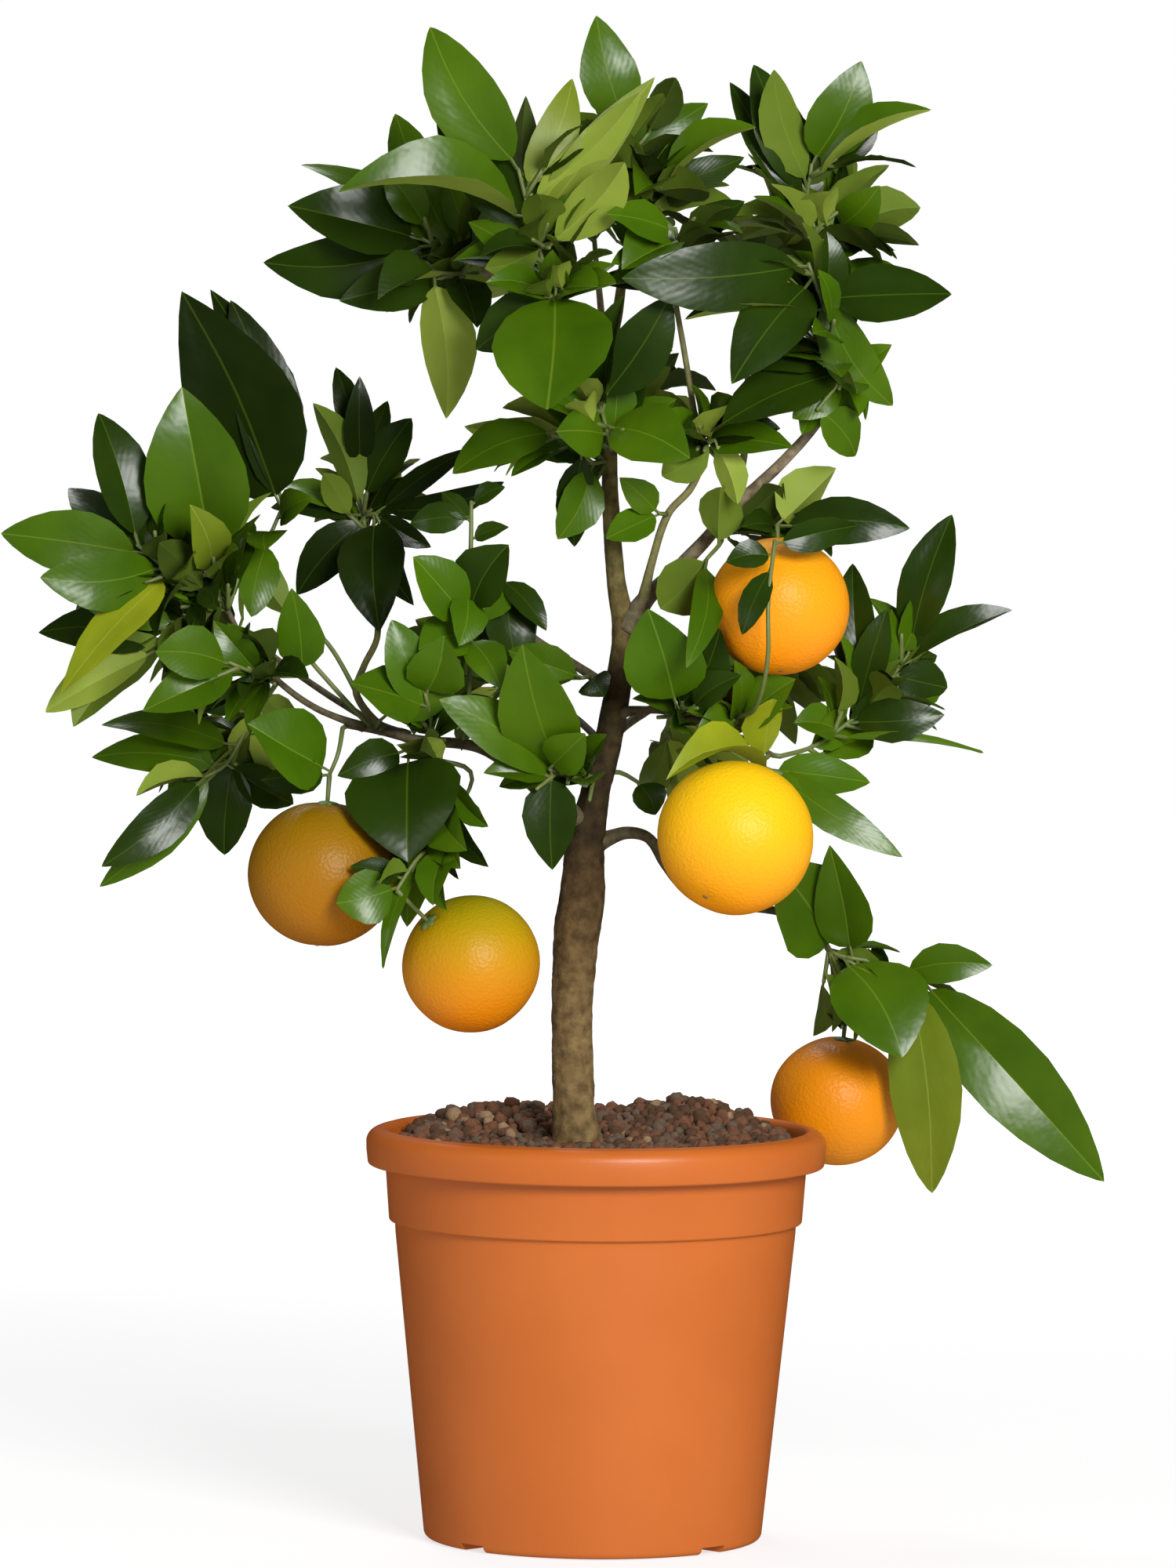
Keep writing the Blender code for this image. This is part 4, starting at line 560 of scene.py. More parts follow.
# The masses of foliage grow from the limbs by one rule: a stem, shoots on it, and leaves round each
# shoot in turns of three eighths. Leaves that mark the crown's outline are placed by their tips first.
Leaf = namedtuple("Leaf", "tip width facing tone arch", defaults=("green", 0.08))
Shoot = namedtuple("Shoot", "path marked leaves length side", defaults=((), 0, 50, 0))
Orange = namedtuple("Orange", "centre radius")
Mass = namedtuple("Mass", "limb shoots space orange", defaults=(None,))
FRONT = Vector((0, -1, 0.25))
SLANT = Vector((0, -0.7, 0.7))
UP = Vector((0, -0.35, 1))
BACK = Vector((0, 1, 0.3))
MASSES = {
    "foliage_top_left": Mass("bough_top_left", (
        Shoot(((-34, -40, 626), (-41, -44, 653)), (
            Leaf((-83, -48, 719), 31, FRONT), Leaf((-38, -10, 688), 15, BACK, "dark"),
            Leaf((-16, -26, 696), 19, FRONT, "olive"), Leaf((16, -62, 689), 16, BACK, "bright"),
            Leaf((-125, -70, 641), 30, SLANT, arch=0.13), Leaf((23, -36, 697), 18, FRONT, "olive"),
            Leaf((-80, -20, 676), 26, FRONT, "dark")), 2, 52),
        Shoot(((-26, -52, 616),), (Leaf((9, -78, 656), 22, BACK, "bright"), Leaf((-56, -64, 606), 15, BACK)), 2, 46)),
        ((-42, -38, 650), (56, 44, 52))),
    "foliage_far_left": Mass("bough_far_left", (
        Shoot(((-73, 22, 613), (-87, 18, 620)), (
            Leaf((-151, 6, 635), 34, FRONT, "dark"), Leaf((-163, 22, 608), 30, FRONT, "dark"),
            Leaf((-146, 38, 655), 15, FRONT), Leaf((-101, 46, 680), 24, FRONT)), 4, 50),
        Shoot(((-68, 4, 604), (-82, -10, 604)), (
            Leaf((-74, -34, 535), 25, BACK, "bright"), Leaf((-107, -28, 591), 24, UP, "dark"),
            Leaf((-126, 2, 590), 24, FRONT, "dark"), Leaf((-60, -24, 578), 22, FRONT, "dark")), 1, 44)),
        ((-92, 20, 620), (62, 44, 44))),
    "foliage_front": Mass("bough_front", (
        Shoot(((-23, -78, 598),), (
            Leaf((-26, -122, 541), 52, FRONT, arch=0.05), Leaf((-3, -98, 598), 22, FRONT, "bright"),
            Leaf((-60, -64, 568), 24, FRONT, "dark"), Leaf((-31, -82, 549), 22, FRONT, "dark")), 3, 42),),
        ((-20, -84, 585), (40, 40, 40))),
    "foliage_top": Mass("trunk", (
        Shoot(((12, 12, 638), (10, 18, 673)), (
            Leaf((-5, 16, 727), 27, FRONT), Leaf((27, -4, 690), 15, BACK),
            Leaf((49, 26, 686), 18, FRONT)), 5, 50),
        Shoot(((26, -10, 645),), (
            Leaf((71, -20, 674), 20, UP), Leaf((49, -36, 643), 20, BACK)), 3, 46)),
        ((18, 4, 652), (52, 42, 52))),
    "foliage_centre": Mass("bough_centre", (
        Shoot(((36, -38, 612), (33, -46, 626)), (
            Leaf((0, -66, 632), 22, FRONT, "bright"), Leaf((8, -64, 606), 28, SLANT)), 4, 46),),
        ((36, -46, 612), (46, 42, 36))),
    "foliage_right_top": Mass("bough_right", (
        Shoot(((103, -8, 605), (96, 0, 636), (98, -3, 657)), (
            Leaf((121, -6, 706), 28, FRONT), Leaf((154, -16, 683), 20, UP),
            Leaf((79, -30, 701), 20, BACK), Leaf((70, -14, 704), 24, FRONT, "dark"),
            Leaf((59, 18, 696), 18, FRONT, "dark")), 3, 50),
        Shoot(((117, 6, 627),), (
            Leaf((150, 0, 637), 22, BACK), Leaf((130, -18, 647), 18, FRONT),
            Leaf((106, -30, 644), 18, BACK, "bright")), 3, 38)),
        ((102, 0, 640), (54, 40, 50))),
    "foliage_right_front": Mass("bough_right", (
        Shoot(((108, -30, 564), (104, -36, 588), (96, -40, 610)), (
            Leaf((8, -72, 602), 30, FRONT, "dark"), Leaf((60, -68, 553), 30, FRONT, "dark"),
            Leaf((137, -24, 543), 22, FRONT), Leaf((164, -34, 596), 30, FRONT, "dark"),
            Leaf((38, -46, 583), 22, SLANT)), 2, 46),),
        ((98, -36, 592), (50, 40, 42))),
    "foliage_right_lower": Mass("bough_right", (
        Shoot(((116, -28, 560),), (Leaf((56, -52, 534), 30, FRONT, "dark"), Leaf((136, -34, 572), 14, FRONT, "bright")), 2, 36),
        Shoot(((101, -38, 541),), (Leaf((120, -16, 519), 20, FRONT),), 1, 30)),
        ((100, -30, 546), (40, 34, 26))),
    "foliage_low_middle": Mass("trunk", (
        Shoot(((4, -28, 523), (-2, -42, 544)), (
            Leaf((31, -54, 594), 26, FRONT, "dark"), Leaf((9, -68, 594), 20, SLANT, "dark"),
            Leaf((41, -64, 518), 30, FRONT), Leaf((-22, -60, 530), 24, FRONT)), 3, 46),),
        ((6, -48, 546), (44, 34, 32))),
    "foliage_leader_left": Mass("trunk", (
        Shoot(((-6, -8, 515), (-14, -14, 528), (-23, -14, 531)), (
            Leaf((-71, -28, 509), 24, FRONT), Leaf((-66, -2, 531), 16, BACK, "bright"),
            Leaf((-48, 6, 540), 16, UP, "olive"), Leaf((-13, 6, 474), 16, FRONT, "dark")), 0, 40),),
        ((-26, -8, 520), (40, 30, 26))),
    "foliage_low_centre": Mass("bough_centre", (
        Shoot(((53, -28, 526),), (Leaf((28, -38, 509), 17, BACK), Leaf((65, -44, 545), 20, SLANT),
            Leaf((90, -38, 523), 20, FRONT)), 2, 36),),
        ((52, -30, 530), (34, 28, 26))),
    "foliage_fork": Mass("bough_centre", (
        Shoot(((27, -22, 491),), (Leaf((2, -30, 479), 17, FRONT, "bright"),), 1, 26),),
        ((24, -26, 490), (28, 22, 18))),
    # Most leaves of this mass take the darkest tone, a painted shade for the inside of the crown.
    "foliage_dark": Mass("bough_left_up", (
        Shoot(((-116, 52, 497), (-117, 54, 512)), (
            Leaf((-129, 60, 558), 14, FRONT, "painted_shade_green"), Leaf((-117, 40, 554), 14, FRONT, "painted_shade_green"),
            Leaf((-104, 68, 542), 14, FRONT, "dark"), Leaf((-92, 50, 534), 20, FRONT, "dark"),
            Leaf((-139, 34, 541), 17, BACK)), 7, 42),
        Shoot(((-109, 44, 488),), (
            Leaf((-106, 34, 432), 30, FRONT, "painted_shade_green"), Leaf((-147, 58, 448), 20, FRONT, "painted_shade_green"),
            Leaf((-160, 62, 490), 16, FRONT, "painted_shade_green"), Leaf((-80, 40, 506), 16, FRONT, "painted_shade_green")), 3, 40)),
        ((-120, 54, 506), (46, 40, 36))),
    "foliage_left_middle": Mass("bough_left", (
        Shoot(((-62, -24, 410), (-63, -28, 446)), (
            Leaf((-44, -36, 476), 28, FRONT, "dark"), Leaf((-89, -42, 470), 26, FRONT, "bright"),
            Leaf((-86, -42, 426), 24, FRONT, "bright")), 1, 30),
        Shoot(((-62, -26, 474), (-62, -24, 496)), (
            Leaf((-46, -28, 503), 10, FRONT, "dark"), Leaf((-91, -18, 485), 14, FRONT, "dark")), 1, 24)),
        ((-64, -28, 466), (32, 26, 40))),
    "foliage_trunk_left": Mass("trunk", (
        Shoot(((-11, -22, 365), (-24, -36, 370)), (
            Leaf((-22, -34, 322), 24, FRONT, "dark"), Leaf((-37, -62, 430), 35, FRONT),
            Leaf((-76, -48, 403), 26, FRONT)), 2, 34),),
        ((-28, -38, 378), (36, 30, 26))),
    "foliage_bough_left": Mass("bough_left", (
        Shoot(((-80, -26, 392), (-83, -32, 405)), (
            Leaf((-74, -40, 433), 26, FRONT), Leaf((-118, -44, 410), 30, FRONT),
            Leaf((-99, -36, 440), 22, FRONT, "bright")), 1, 34),),
        ((-72, -20, 408), (38, 30, 26))),
    "foliage_left_high": Mass("bough_left_high", (
        Shoot(((-48, 12, 459),), (Leaf((-60, 4, 438), 20, FRONT),), 4, 34),),
        ((-50, 18, 446), (28, 30, 26))),
    "foliage_left_high_side": Mass("bough_left_high", (
        Shoot(((-9, -8, 412),), (
            Leaf((-44, -12, 425), 18, FRONT), Leaf((-36, -12, 405), 15, UP),
            Leaf((2, -26, 404), 16, FRONT, "dark")), 0, 28),),
        ((-18, -8, 408), (28, 26, 16))),
    "foliage_right_leaf": Mass("bough_right_mid", (
        Shoot(((36, -38, 400),), (Leaf((22, -56, 447), 36, FRONT, "bright"), Leaf((56, -44, 438), 26, FRONT, "dark")), 1, 34),),
        ((38, -44, 416), (32, 28, 30))),
    "foliage_right_middle": Mass("bough_right_mid", (
        Shoot(((65, -36, 395),), (
            Leaf((45, -48, 388), 22, FRONT), Leaf((92, -42, 414), 22, FRONT)), 3, 38),
        Shoot(((73, -56, 401), (78, -78, 424), (78, -80, 452), (81, -70, 480)), (
            Leaf((120, -52, 487), 15, FRONT, "dark"), Leaf((58, -76, 470), 13, FRONT, "dark"),
            Leaf((66, -80, 436), 13, FRONT, "dark")), 0, 30)),
        ((68, -44, 404), (38, 36, 28))),
    "foliage_trunk_right": Mass("trunk", (
        Shoot(((11, 8, 366), (19, 14, 361)), (Leaf((27, 10, 346), 16, FRONT, "dark"),), 5, 32),),
        ((22, 14, 368), (28, 34, 26))),
    "fruit_right_top": Mass("bough_right", (
        Shoot(((57, -10, 478), (50, -24, 470)), (
            Leaf((28, -30, 446), 26, BACK), Leaf((43, -44, 430), 14, BACK),
            Leaf((56, -28, 504), 20, BACK), Leaf((52, -52, 416), 12, FRONT, "dark")), 0, 24),
        Shoot(((80, 2, 484), (83, -20, 486)), (
            Leaf((111, -8, 513), 24, BACK, "bright"), Leaf((146, -20, 485), 21, FRONT, "dark")), 2, 34)),
        ((78, 0, 480), (44, 36, 30)), Orange((84, -34, 448), 33.5)),
    "foliage_far_right": Mass("bough_right_mid", (
        Shoot(((102, -12, 381), (127, 4, 398)), (
            Leaf((120, 16, 467), 20, FRONT, "dark"), Leaf((136, -4, 446), 16, FRONT, "dark"),
            Leaf((164, -6, 396), 20, FRONT, "dark"), Leaf((92, -18, 392), 18, FRONT),
            Leaf((183, -4, 378), 4, FRONT)), 4, 44),
        Shoot(((147, 6, 424),), (
            Leaf((167, 10, 491), 23, FRONT, "dark"), Leaf((196, 0, 446), 17, SLANT, "dark"),
            Leaf((166, 14, 408), 20, FRONT, "dark")), 2, 38)),
        ((134, 8, 420), (42, 44, 44))),
    "fruit_right": Mass("bough_right_mid", (
        Shoot(((76, -40, 373), (86, -44, 369)), (
            Leaf((27, -100, 366), 18, SLANT, "yellow"), Leaf((128, -36, 365), 20, FRONT, "bright"),
            Leaf((143, -56, 331), 17, FRONT), Leaf((81, -48, 405), 20, BACK, "yellow")), 0, 30),),
        ((88, -44, 380), (40, 36, 30)), Orange((64, -64, 340), 37)),
    "fruit_right_low": Mass("bough_right_low", (
        Shoot(((120, 60, 275),), (
            Leaf((147, 30, 229), 44, FRONT), Leaf((84, 34, 322), 42, FRONT)), 1, 34),
        Shoot(((136, 62, 272), (158, 60, 264)), (
            Leaf((246, 50, 168), 36, FRONT), Leaf((163, 56, 161), 34, FRONT, "olive"),
            Leaf((191, 56, 272), 18, FRONT), Leaf((196, 80, 205), 16, FRONT, "dark")), 2, 42),
        Shoot(((120, 76, 258), (121, 84, 244)), (Leaf((118, 58, 240), 14, FRONT),), 0, 30)),
        ((142, 72, 246), (44, 46, 32)), Orange((117.5, 88, 202.5), 32.5)),
    "fruit_far_left": Mass("bough_left", (
        Shoot(((-124, -28, 376), (-128, -30, 366)), (Leaf((-166, -54, 391), 38, FRONT, "bright"),), 3, 32),),
        ((-138, -30, 372), (34, 34, 18)), Orange((-131, -30, 319), 35.5)),
    "foliage_left_inner": Mass("bough_left_upper", (
        Shoot(((-159, -46, 413), (-175, -56, 420)), (
            Leaf((-209, -68, 425), 24, FRONT), Leaf((-215, -64, 397), 22, FRONT)), 4, 38),
        Shoot(((-139, -36, 413),), (Leaf((-146, -48, 455), 22, FRONT, "bright"),), 1, 26)),
        ((-170, -54, 412), (42, 34, 34))),
    "foliage_left_upper": Mass("bough_left_upper", (
        Shoot(((-183, -20, 456), (-184, -18, 468)), (
            Leaf((-199, -34, 549), 46, FRONT), Leaf((-194, -52, 494), 20, FRONT, "olive")), 3, 50),
        Shoot(((-200, -28, 460), (-220, -30, 474)), (
            Leaf((-239, -20, 536), 26, FRONT, "dark"), Leaf((-284, -34, 479), 28, FRONT),
            Leaf((-254, -4, 500), 24, FRONT, "dark"), Leaf((-264, -56, 459), 26, FRONT)), 2, 42),
        Shoot(((-163, -4, 472), (-152, 4, 492)), (
            Leaf((-201, 2, 594), 54, FRONT, "painted_shade_green"), Leaf((-137, -22, 497), 16, FRONT),
            Leaf((-159, -36, 472), 20, FRONT), Leaf((-166, -20, 440), 20, FRONT)), 1, 40),
        Shoot(((-202, -14, 435), (-211, -10, 423)), (
            Leaf((-262, -42, 395), 19, BACK, "olive"), Leaf((-268, -2, 431), 24, FRONT, "dark"),
            Leaf((-250, -20, 387), 30, BACK), Leaf((-247, 2, 444), 14, FRONT)), 3, 42)),
        ((-205, -16, 460), (66, 46, 68))),
    "foliage_left_low": Mass("bough_left_upper", (
        Shoot(((-167, 4, 389), (-178, 0, 369), (-188, -4, 363)), (
            Leaf((-236, -24, 321), 20, FRONT, "dark"), Leaf((-238, -4, 310), 18, FRONT),
            Leaf((-243, 12, 371), 20, FRONT), Leaf((-179, 8, 325), 26, FRONT, "dark"),
            Leaf((-238, 2, 387), 20, FRONT), Leaf((-205, 14, 336), 16, SLANT)), 5, 42),),
        ((-192, 4, 362), (46, 40, 34))),
    "fruit_near_left": Mass("bough_left", (
        Shoot(((-76, -32, 362), (-72, -42, 335)), ()),
        Shoot(((-92, -30, 378),), (Leaf((-90, -58, 327), 52, FRONT, "dark"),)),
        Shoot(((-84, -56, 330), (-95, -66, 314)), (
            Leaf((-123, -74, 308), 24, FRONT), Leaf((-117, -58, 325), 12, FRONT, "dark"),
            Leaf((-103, -82, 318), 12, BACK), Leaf((-101, -70, 277), 8, FRONT)), 3, 22),
        Shoot(((-61, -18, 367), (-65, -18, 352)), (Leaf((-55, -20, 341), 8, FRONT),), 2, 13)),
        ((-86, -50, 335), (40, 40, 50)), Orange((-60, -46, 278), 33)),
    "foliage_back_top_left": Mass("bough_top_back", (
        Shoot(((-22, 74, 600), (-50, 82, 622)), (), 9, 54, 2),),
        ((-56, 78, 626), (56, 46, 40))),
    "foliage_back_top": Mass("bough_top_back", (
        Shoot(((-6, 98, 638), (-5, 100, 665)), (), 9, 52, 2),),
        ((2, 98, 650), (50, 44, 46))),
    "foliage_back_right": Mass("bough_right_inner", (
        Shoot(((80, 85, 608), (91, 85, 635)), (), 9, 52, 2),),
        ((92, 82, 626), (54, 46, 54))),
    "foliage_back_low": Mass("trunk", (
        Shoot(((8, 40, 536), (19, 60, 551)), (), 8, 48, 1),),
        ((18, 60, 548), (42, 40, 34))),
    "foliage_back_left": Mass("bough_left_back", (
        Shoot(((-193, 80, 446), (-208, 78, 462)), (), 9, 52, 2),),
        ((-204, 72, 456), (52, 46, 58))),
    "foliage_back_left_low": Mass("bough_left_back", (
        Shoot(((-177, 70, 382), (-198, 74, 372)), (), 8, 46, 1),),
        ((-186, 66, 376), (44, 40, 34))),
    "foliage_back_middle": Mass("bough_back", (
        Shoot(((71, 105, 413), (84, 108, 406)), (), 9, 48, 2),),
        ((74, 98, 408), (46, 44, 40))),
    "foliage_back_middle_low": Mass("bough_back", (
        Shoot(((32, 80, 372), (40, 86, 357)), (), 7, 42, 1),),
        ((40, 78, 362), (36, 38, 30))),
    "foliage_back_middle_left": Mass("bough_back_left", (
        Shoot(((-63, 95, 409), (-79, 98, 412)), (), 9, 46, 2),),
        ((-66, 90, 406), (46, 44, 38))),
}

# Openings where the sky shows through the crown, seen from the front: x and z of the middle, half sizes
SKY = (((-120, 568), (22, 20)), ((-54, 550), (9, 12)), ((-32, 498), (10, 18)), ((-12, 452), (15, 24)),
       ((48, 567), (9, 14)), ((54, 651), (9, 5)), ((30, 473), (10, 12)), ((-144, 469), (14, 11)),
       ((-125, 420), (11, 12)), ((40, 437), (6, 5)), ((-76, 388), (13, 4)))
GAP = 0.3
TWIG_RADIUS = 1.25
TWIG_TIP_RADIUS = 0.95
COLLAR = 2
FIRST_NODE = 1.5
NODE_SPACING = 5.5
PHYLLOTAXIS = math.radians(135)
TIP_SPREAD = math.radians(28)
FULL_SPREAD = math.radians(66)
SPREAD_NODES = 6
WIDTH_RATIO = 0.46
SIDE_TWIG_LENGTH = 26
SIDE_TWIG_LEAVES = 4
FINE_TWIGS = 6
FINE_SPACING = 10
FINE_LENGTH = 16
FINE_LEAVES = 4
FINE_SHARE = 0.8
TURNS = (0, 24, -24, 48, -48, 72, -72)
DEPTH_SHIFTS = (0, -5, 5, -10, 10, -15, 15, -20, 20)
ROLLS = (6, 24)
MOST_ON_SHOOT = 8
LEAST_LENGTH = 34
FLAT_FOLDS = (10, 24)
BACK_FOLDS = (22, 34)
STEEP_FOLDS = (40, 50)
STEEP_TILTS = (26, 36)
FREE_FOLDS = (14, 36)
Blade = namedtuple("Blade", "base tip facing width arch tone fold")
# Bare twigs that only this finer tree has, in the open places at the left of the trunk
BARE_TWIGS = (
    ("foliage_bough_left", ((-107, -17, 387), (-104, -24, 392))),
    ("foliage_bough_left", ((-108, -17, 387), (-127, -26, 408), (-143, -30, 428), (-148, -34, 446))),
    ("foliage_bough_left", ((-114, -6, 400), (-128, 2, 424), (-141, 6, 438))),
    ("foliage_left_high", ((-30, 12, 429), (-44, 18, 424), (-62, 20, 428))),
)
# Leaves that only this finer tree has, each at the twig of its mass nearest to a place
EXTRA = (
    ("foliage_left_upper", (-139, -4, 517), Leaf((-178, 10, 590), 26, FRONT, "painted_shade_green")),
    ("foliage_left_upper", (-146, -2, 505), Leaf((-188, 6, 595), 32, FRONT, "painted_shade_green")),
    ("foliage_top", (35, -10, 645), Leaf((14, -44, 641), 20, UP, "green")),
    ("foliage_top", (26, -10, 645), Leaf((66, -4, 660), 15, FRONT, "dark")),
    ("foliage_right_top", (96, 0, 636), Leaf((66, 2, 674), 14, FRONT, "dark")),
    ("foliage_fork", (27, -22, 491), Leaf((8, -28, 508), 14, FRONT, "green")),
    ("foliage_low_centre", (53, -28, 526), Leaf((64, -34, 496), 15, BACK, "bright")),
    ("fruit_near_left", (-92, -30, 378), Leaf((-124, -40, 366), 18, FRONT, "dark")),
    ("fruit_far_left", (-128, -30, 366), Leaf((-160, -44, 364), 16, FRONT, "dark")),
    ("foliage_dark", (-109, 44, 488), Leaf((-90, 40, 444), 15, FRONT, "painted_shade_green")),
    ("foliage_dark", (-109, 44, 488), Leaf((-82, 44, 472), 11, FRONT, "painted_shade_green")),
    ("foliage_bough_left", (-104, -24, 392), Leaf((-64, -48, 428), 32, FRONT, "green")),
    ("foliage_left_low", (-178, 0, 369), Leaf((-146, 4, 350), 18, FRONT, "dark")),
    ("foliage_leader_left", (-4, -6, 503), Leaf((-21, -12, 478), 20, FRONT, "green")),
    ("foliage_trunk_left", (-24, -36, 370), Leaf((-7, -50, 388), 20, FRONT, "green")),
    ("foliage_left_high", (-46, 12, 451), Leaf((-40, 18, 414), 24, FRONT, "dark")),
    ("foliage_left_middle", (-62, -24, 452), Leaf((-67, -44, 428), 18, FRONT, "bright")),
    ("foliage_left_middle", (-62, -24, 432), Leaf((-47, -44, 408), 18, FRONT, "green")),
    ("foliage_left_middle", (-62, -24, 486), Leaf((-76, -20, 500), 9, FRONT, "dark")),
    ("foliage_left_middle", (-62, -24, 478), Leaf((-44, -28, 484), 9, FRONT, "dark")),
    ("foliage_left_high", (-46, 12, 451), Leaf((-70, 20, 420), 18, FRONT, "dark")),
    ("foliage_left_high", (-48, 12, 459), Leaf((-26, 0, 434), 13, FRONT, "dark")),
    ("foliage_dark", (-100, 40, 495), Leaf((-47, 36, 504), 13, FRONT, "painted_shade_green")),
    ("foliage_dark", (-100, 40, 500), Leaf((-64, 36, 520), 11, FRONT, "painted_shade_green")),
    ("fruit_right_low", (125, 60, 285), Leaf((111, 34, 331), 26, FRONT, "green")),
    ("foliage_left_upper", (-208, -46, 450), Leaf((-254, -60, 404), 22, FRONT, "yellow")),
    ("fruit_right", (82, -44, 371), Leaf((31, -84, 368), 20, UP, "yellow", 0.2)),
    ("fruit_right_top", (50, -24, 470), Leaf((40, -76, 420), 14, FRONT, "green")),
)
CLEARANCE = 0.35
OUTWARD = 0.8


def in_sky(place):
    return any(((place.x - x) / half_x) ** 2 + ((place.z - z) / half_z) ** 2 < 1
               for (x, z), (half_x, half_z) in SKY)


def in_space(place, space):
    middle, half = space
    return sum(((place[i] - middle[i]) / half[i]) ** 2 for i in range(3)) < 1


def nearest_on(paths, place):
    """The nearest point on any of the paths, and the direction there."""
    best = None
    for path in paths:
        for start, end in zip(path, path[1:]):
            span = end - start
            share = min(max((place - start).dot(span) / span.length_squared, 0), 1)
            spot = start + span * share
            if best is None or (spot - place).length < (best[0] - place).length:
                best = (spot, span.normalized())
    return best


def stem_start(mass):
    """Where the mass's stem leaves its limb: from the limb's tip, or out of its side."""
    path, radii = routes[mass.limb]
    first = Vector(mass.shoots[0].path[0])
    spot, direction = nearest_on([path], first)
    if (spot - path[-1]).length < 1:
        heading = (path[-1] - path[-2]).normalized()
        return [path[-1], path[-1] + heading * COLLAR]
    nearest = min(range(len(path)), key=lambda i: (path[i] - spot).length)
    outward = first - spot
    outward = (outward - direction * outward.dot(direction)).normalized()
    start = spot + outward * radii[nearest] * 0.5
    return [start, start + outward * (radii[nearest] * 0.5 + COLLAR)]


def along_path(path, distance):
    """The point that far back from the path's tip, and the direction of growth there."""
    for end, start in zip(reversed(path), reversed(path[:-1])):
        span = end - start
        if distance <= span.length:
            return end - span * (distance / span.length), span.normalized()
        distance -= span.length
    return path[0], (path[1] - path[0]).normalized()


def across(direction, turn):
    """A unit vector square to the direction, turned about it."""
    level = direction.cross(Vector((0, 0, 1)))
    level = level.normalized() if level.length > 0.1 else Vector((1, 0, 0))
    return Matrix.Rotation(turn, 3, direction) @ level


def leaf_frame(leaf):
    """The leaf's direction, length, upward normal and sideways vector."""
    along = leaf.tip - leaf.base
    length = along.length
    along = along / length
    normal = (leaf.facing - along * leaf.facing.dot(along)).normalized()
    return along, length, normal, normal.cross(along)


def outline_of(leaf):
    """A diamond of the leaf's outer part, arched as the leaf is, to test for room."""
    along, length, normal, side = leaf_frame(leaf)
    root = leaf.base + along * length * 0.16 + normal * leaf.arch * length * 0.5
    middle = leaf.base + along * length * 0.5 + normal * leaf.arch * length
    side = side * leaf.width * 0.45
    corners = [root, middle + side, leaf.tip, middle - side, middle + normal * CLEARANCE * 2,
               middle - normal * CLEARANCE * 2]
    faces = [(0, 1, 4), (1, 2, 4), (2, 3, 4), (3, 0, 4), (1, 0, 5), (2, 1, 5), (3, 2, 5), (0, 3, 5)]
    return corners, faces


oranges = [mass.orange for mass in MASSES.values() if mass.orange]
limb_trees = []
for path, radii in routes.values():
    limb_points, limb_faces = limb(path, radii, 6, 12)
    limb_trees.append(BVHTree.FromPolygons(limb_points, limb_faces))
grown_trees = []


def has_room(leaf):
    """Keeps the leaf and says yes if it crosses no limb, orange or earlier leaf."""
    corners, faces = outline_of(leaf)
    low = [min(c[i] for c in corners) for i in range(3)]
    high = [max(c[i] for c in corners) for i in range(3)]
    tree = BVHTree.FromPolygons(corners, faces)
    for place in (*corners, corners[0].lerp(corners[4], 0.5), corners[2].lerp(corners[4], 0.5)):
        if any((place - Vector(orange.centre)).length < orange.radius + 1.5 for orange in oranges):
            return False
        if math.hypot(place.x, place.y) < RIM_RADIUS + 2 and place.z < RIM_TOP + 2:
            return False
    if any(tree.overlap(limb_tree) for limb_tree in limb_trees):
        return False
    for other_low, other_high, other in grown_trees:
        if all(low[i] <= other_high[i] and high[i] >= other_low[i] for i in range(3)) and tree.overlap(other):
            return False
    grown_trees.append((low, high, tree))
    return True


def covers_marked(place):
    """Whether the place lies before a marked leaf, as seen from the front."""
    for leaf in marked_leaves:
        axis = (leaf.tip - leaf.base).xz
        offset = (place - leaf.base).xz
        share = offset.dot(axis) / axis.length_squared
        depth = leaf.base.y + (leaf.tip.y - leaf.base.y) * share
        if 0.1 < share < 1 and place.y < depth and (offset - axis * share).length < leaf.width * 0.42:
            return True
    return False


def grow_leaves(mass, path, first, count, length, chance, tone):
    """Leaves by the 3/8 rule, closing up towards the tip; one that has no room is turned, then left out."""
    grown = []
    start_turn = chance.uniform(0, 2 * math.pi)
    for k in range(first, first + count):
        base, direction = along_path(path, FIRST_NODE + k * NODE_SPACING)
        spread = TIP_SPREAD + (FULL_SPREAD - TIP_SPREAD) * min(k / SPREAD_NODES, 1)
        reach = length * chance.uniform(0.82, 1.12)
        outward = Vector((base.x, base.y, 0)).normalized() * OUTWARD
        tilt = outward + Vector((chance.uniform(-0.3, 0.3), chance.uniform(-0.4, 0.2), 1))
        fold = chance.uniform(*FREE_FOLDS)
        for turn in TURNS:
            out = across(direction, start_turn + k * PHYLLOTAXIS + math.radians(turn))
            heading = direction * math.cos(spread) + out * math.sin(spread)
            tip = base + heading * reach
            middle = base + heading * (reach / 2)
            if any(in_sky(place) or not in_space(place, mass.space) or covers_marked(place)
                   for place in (tip, middle)):
                continue
            leaf = Blade(base, tip, direction * 0.5 + tilt * 0.7, reach * WIDTH_RATIO, 0.09, tone, fold)
            if has_room(leaf):
                grown.append(leaf)
                break
    return grown


def side_twigs(path, count, length, spacing, chance):
    """Short twigs out of a shoot's side, at random turns."""
    made = []
    for i in range(count):
        start, direction = along_path(path, spacing * (0.6 + 0.8 * i))
        out = across(direction, chance.uniform(0, 2 * math.pi))
        made.append([start, start + (direction + out).normalized() * length])
    return made


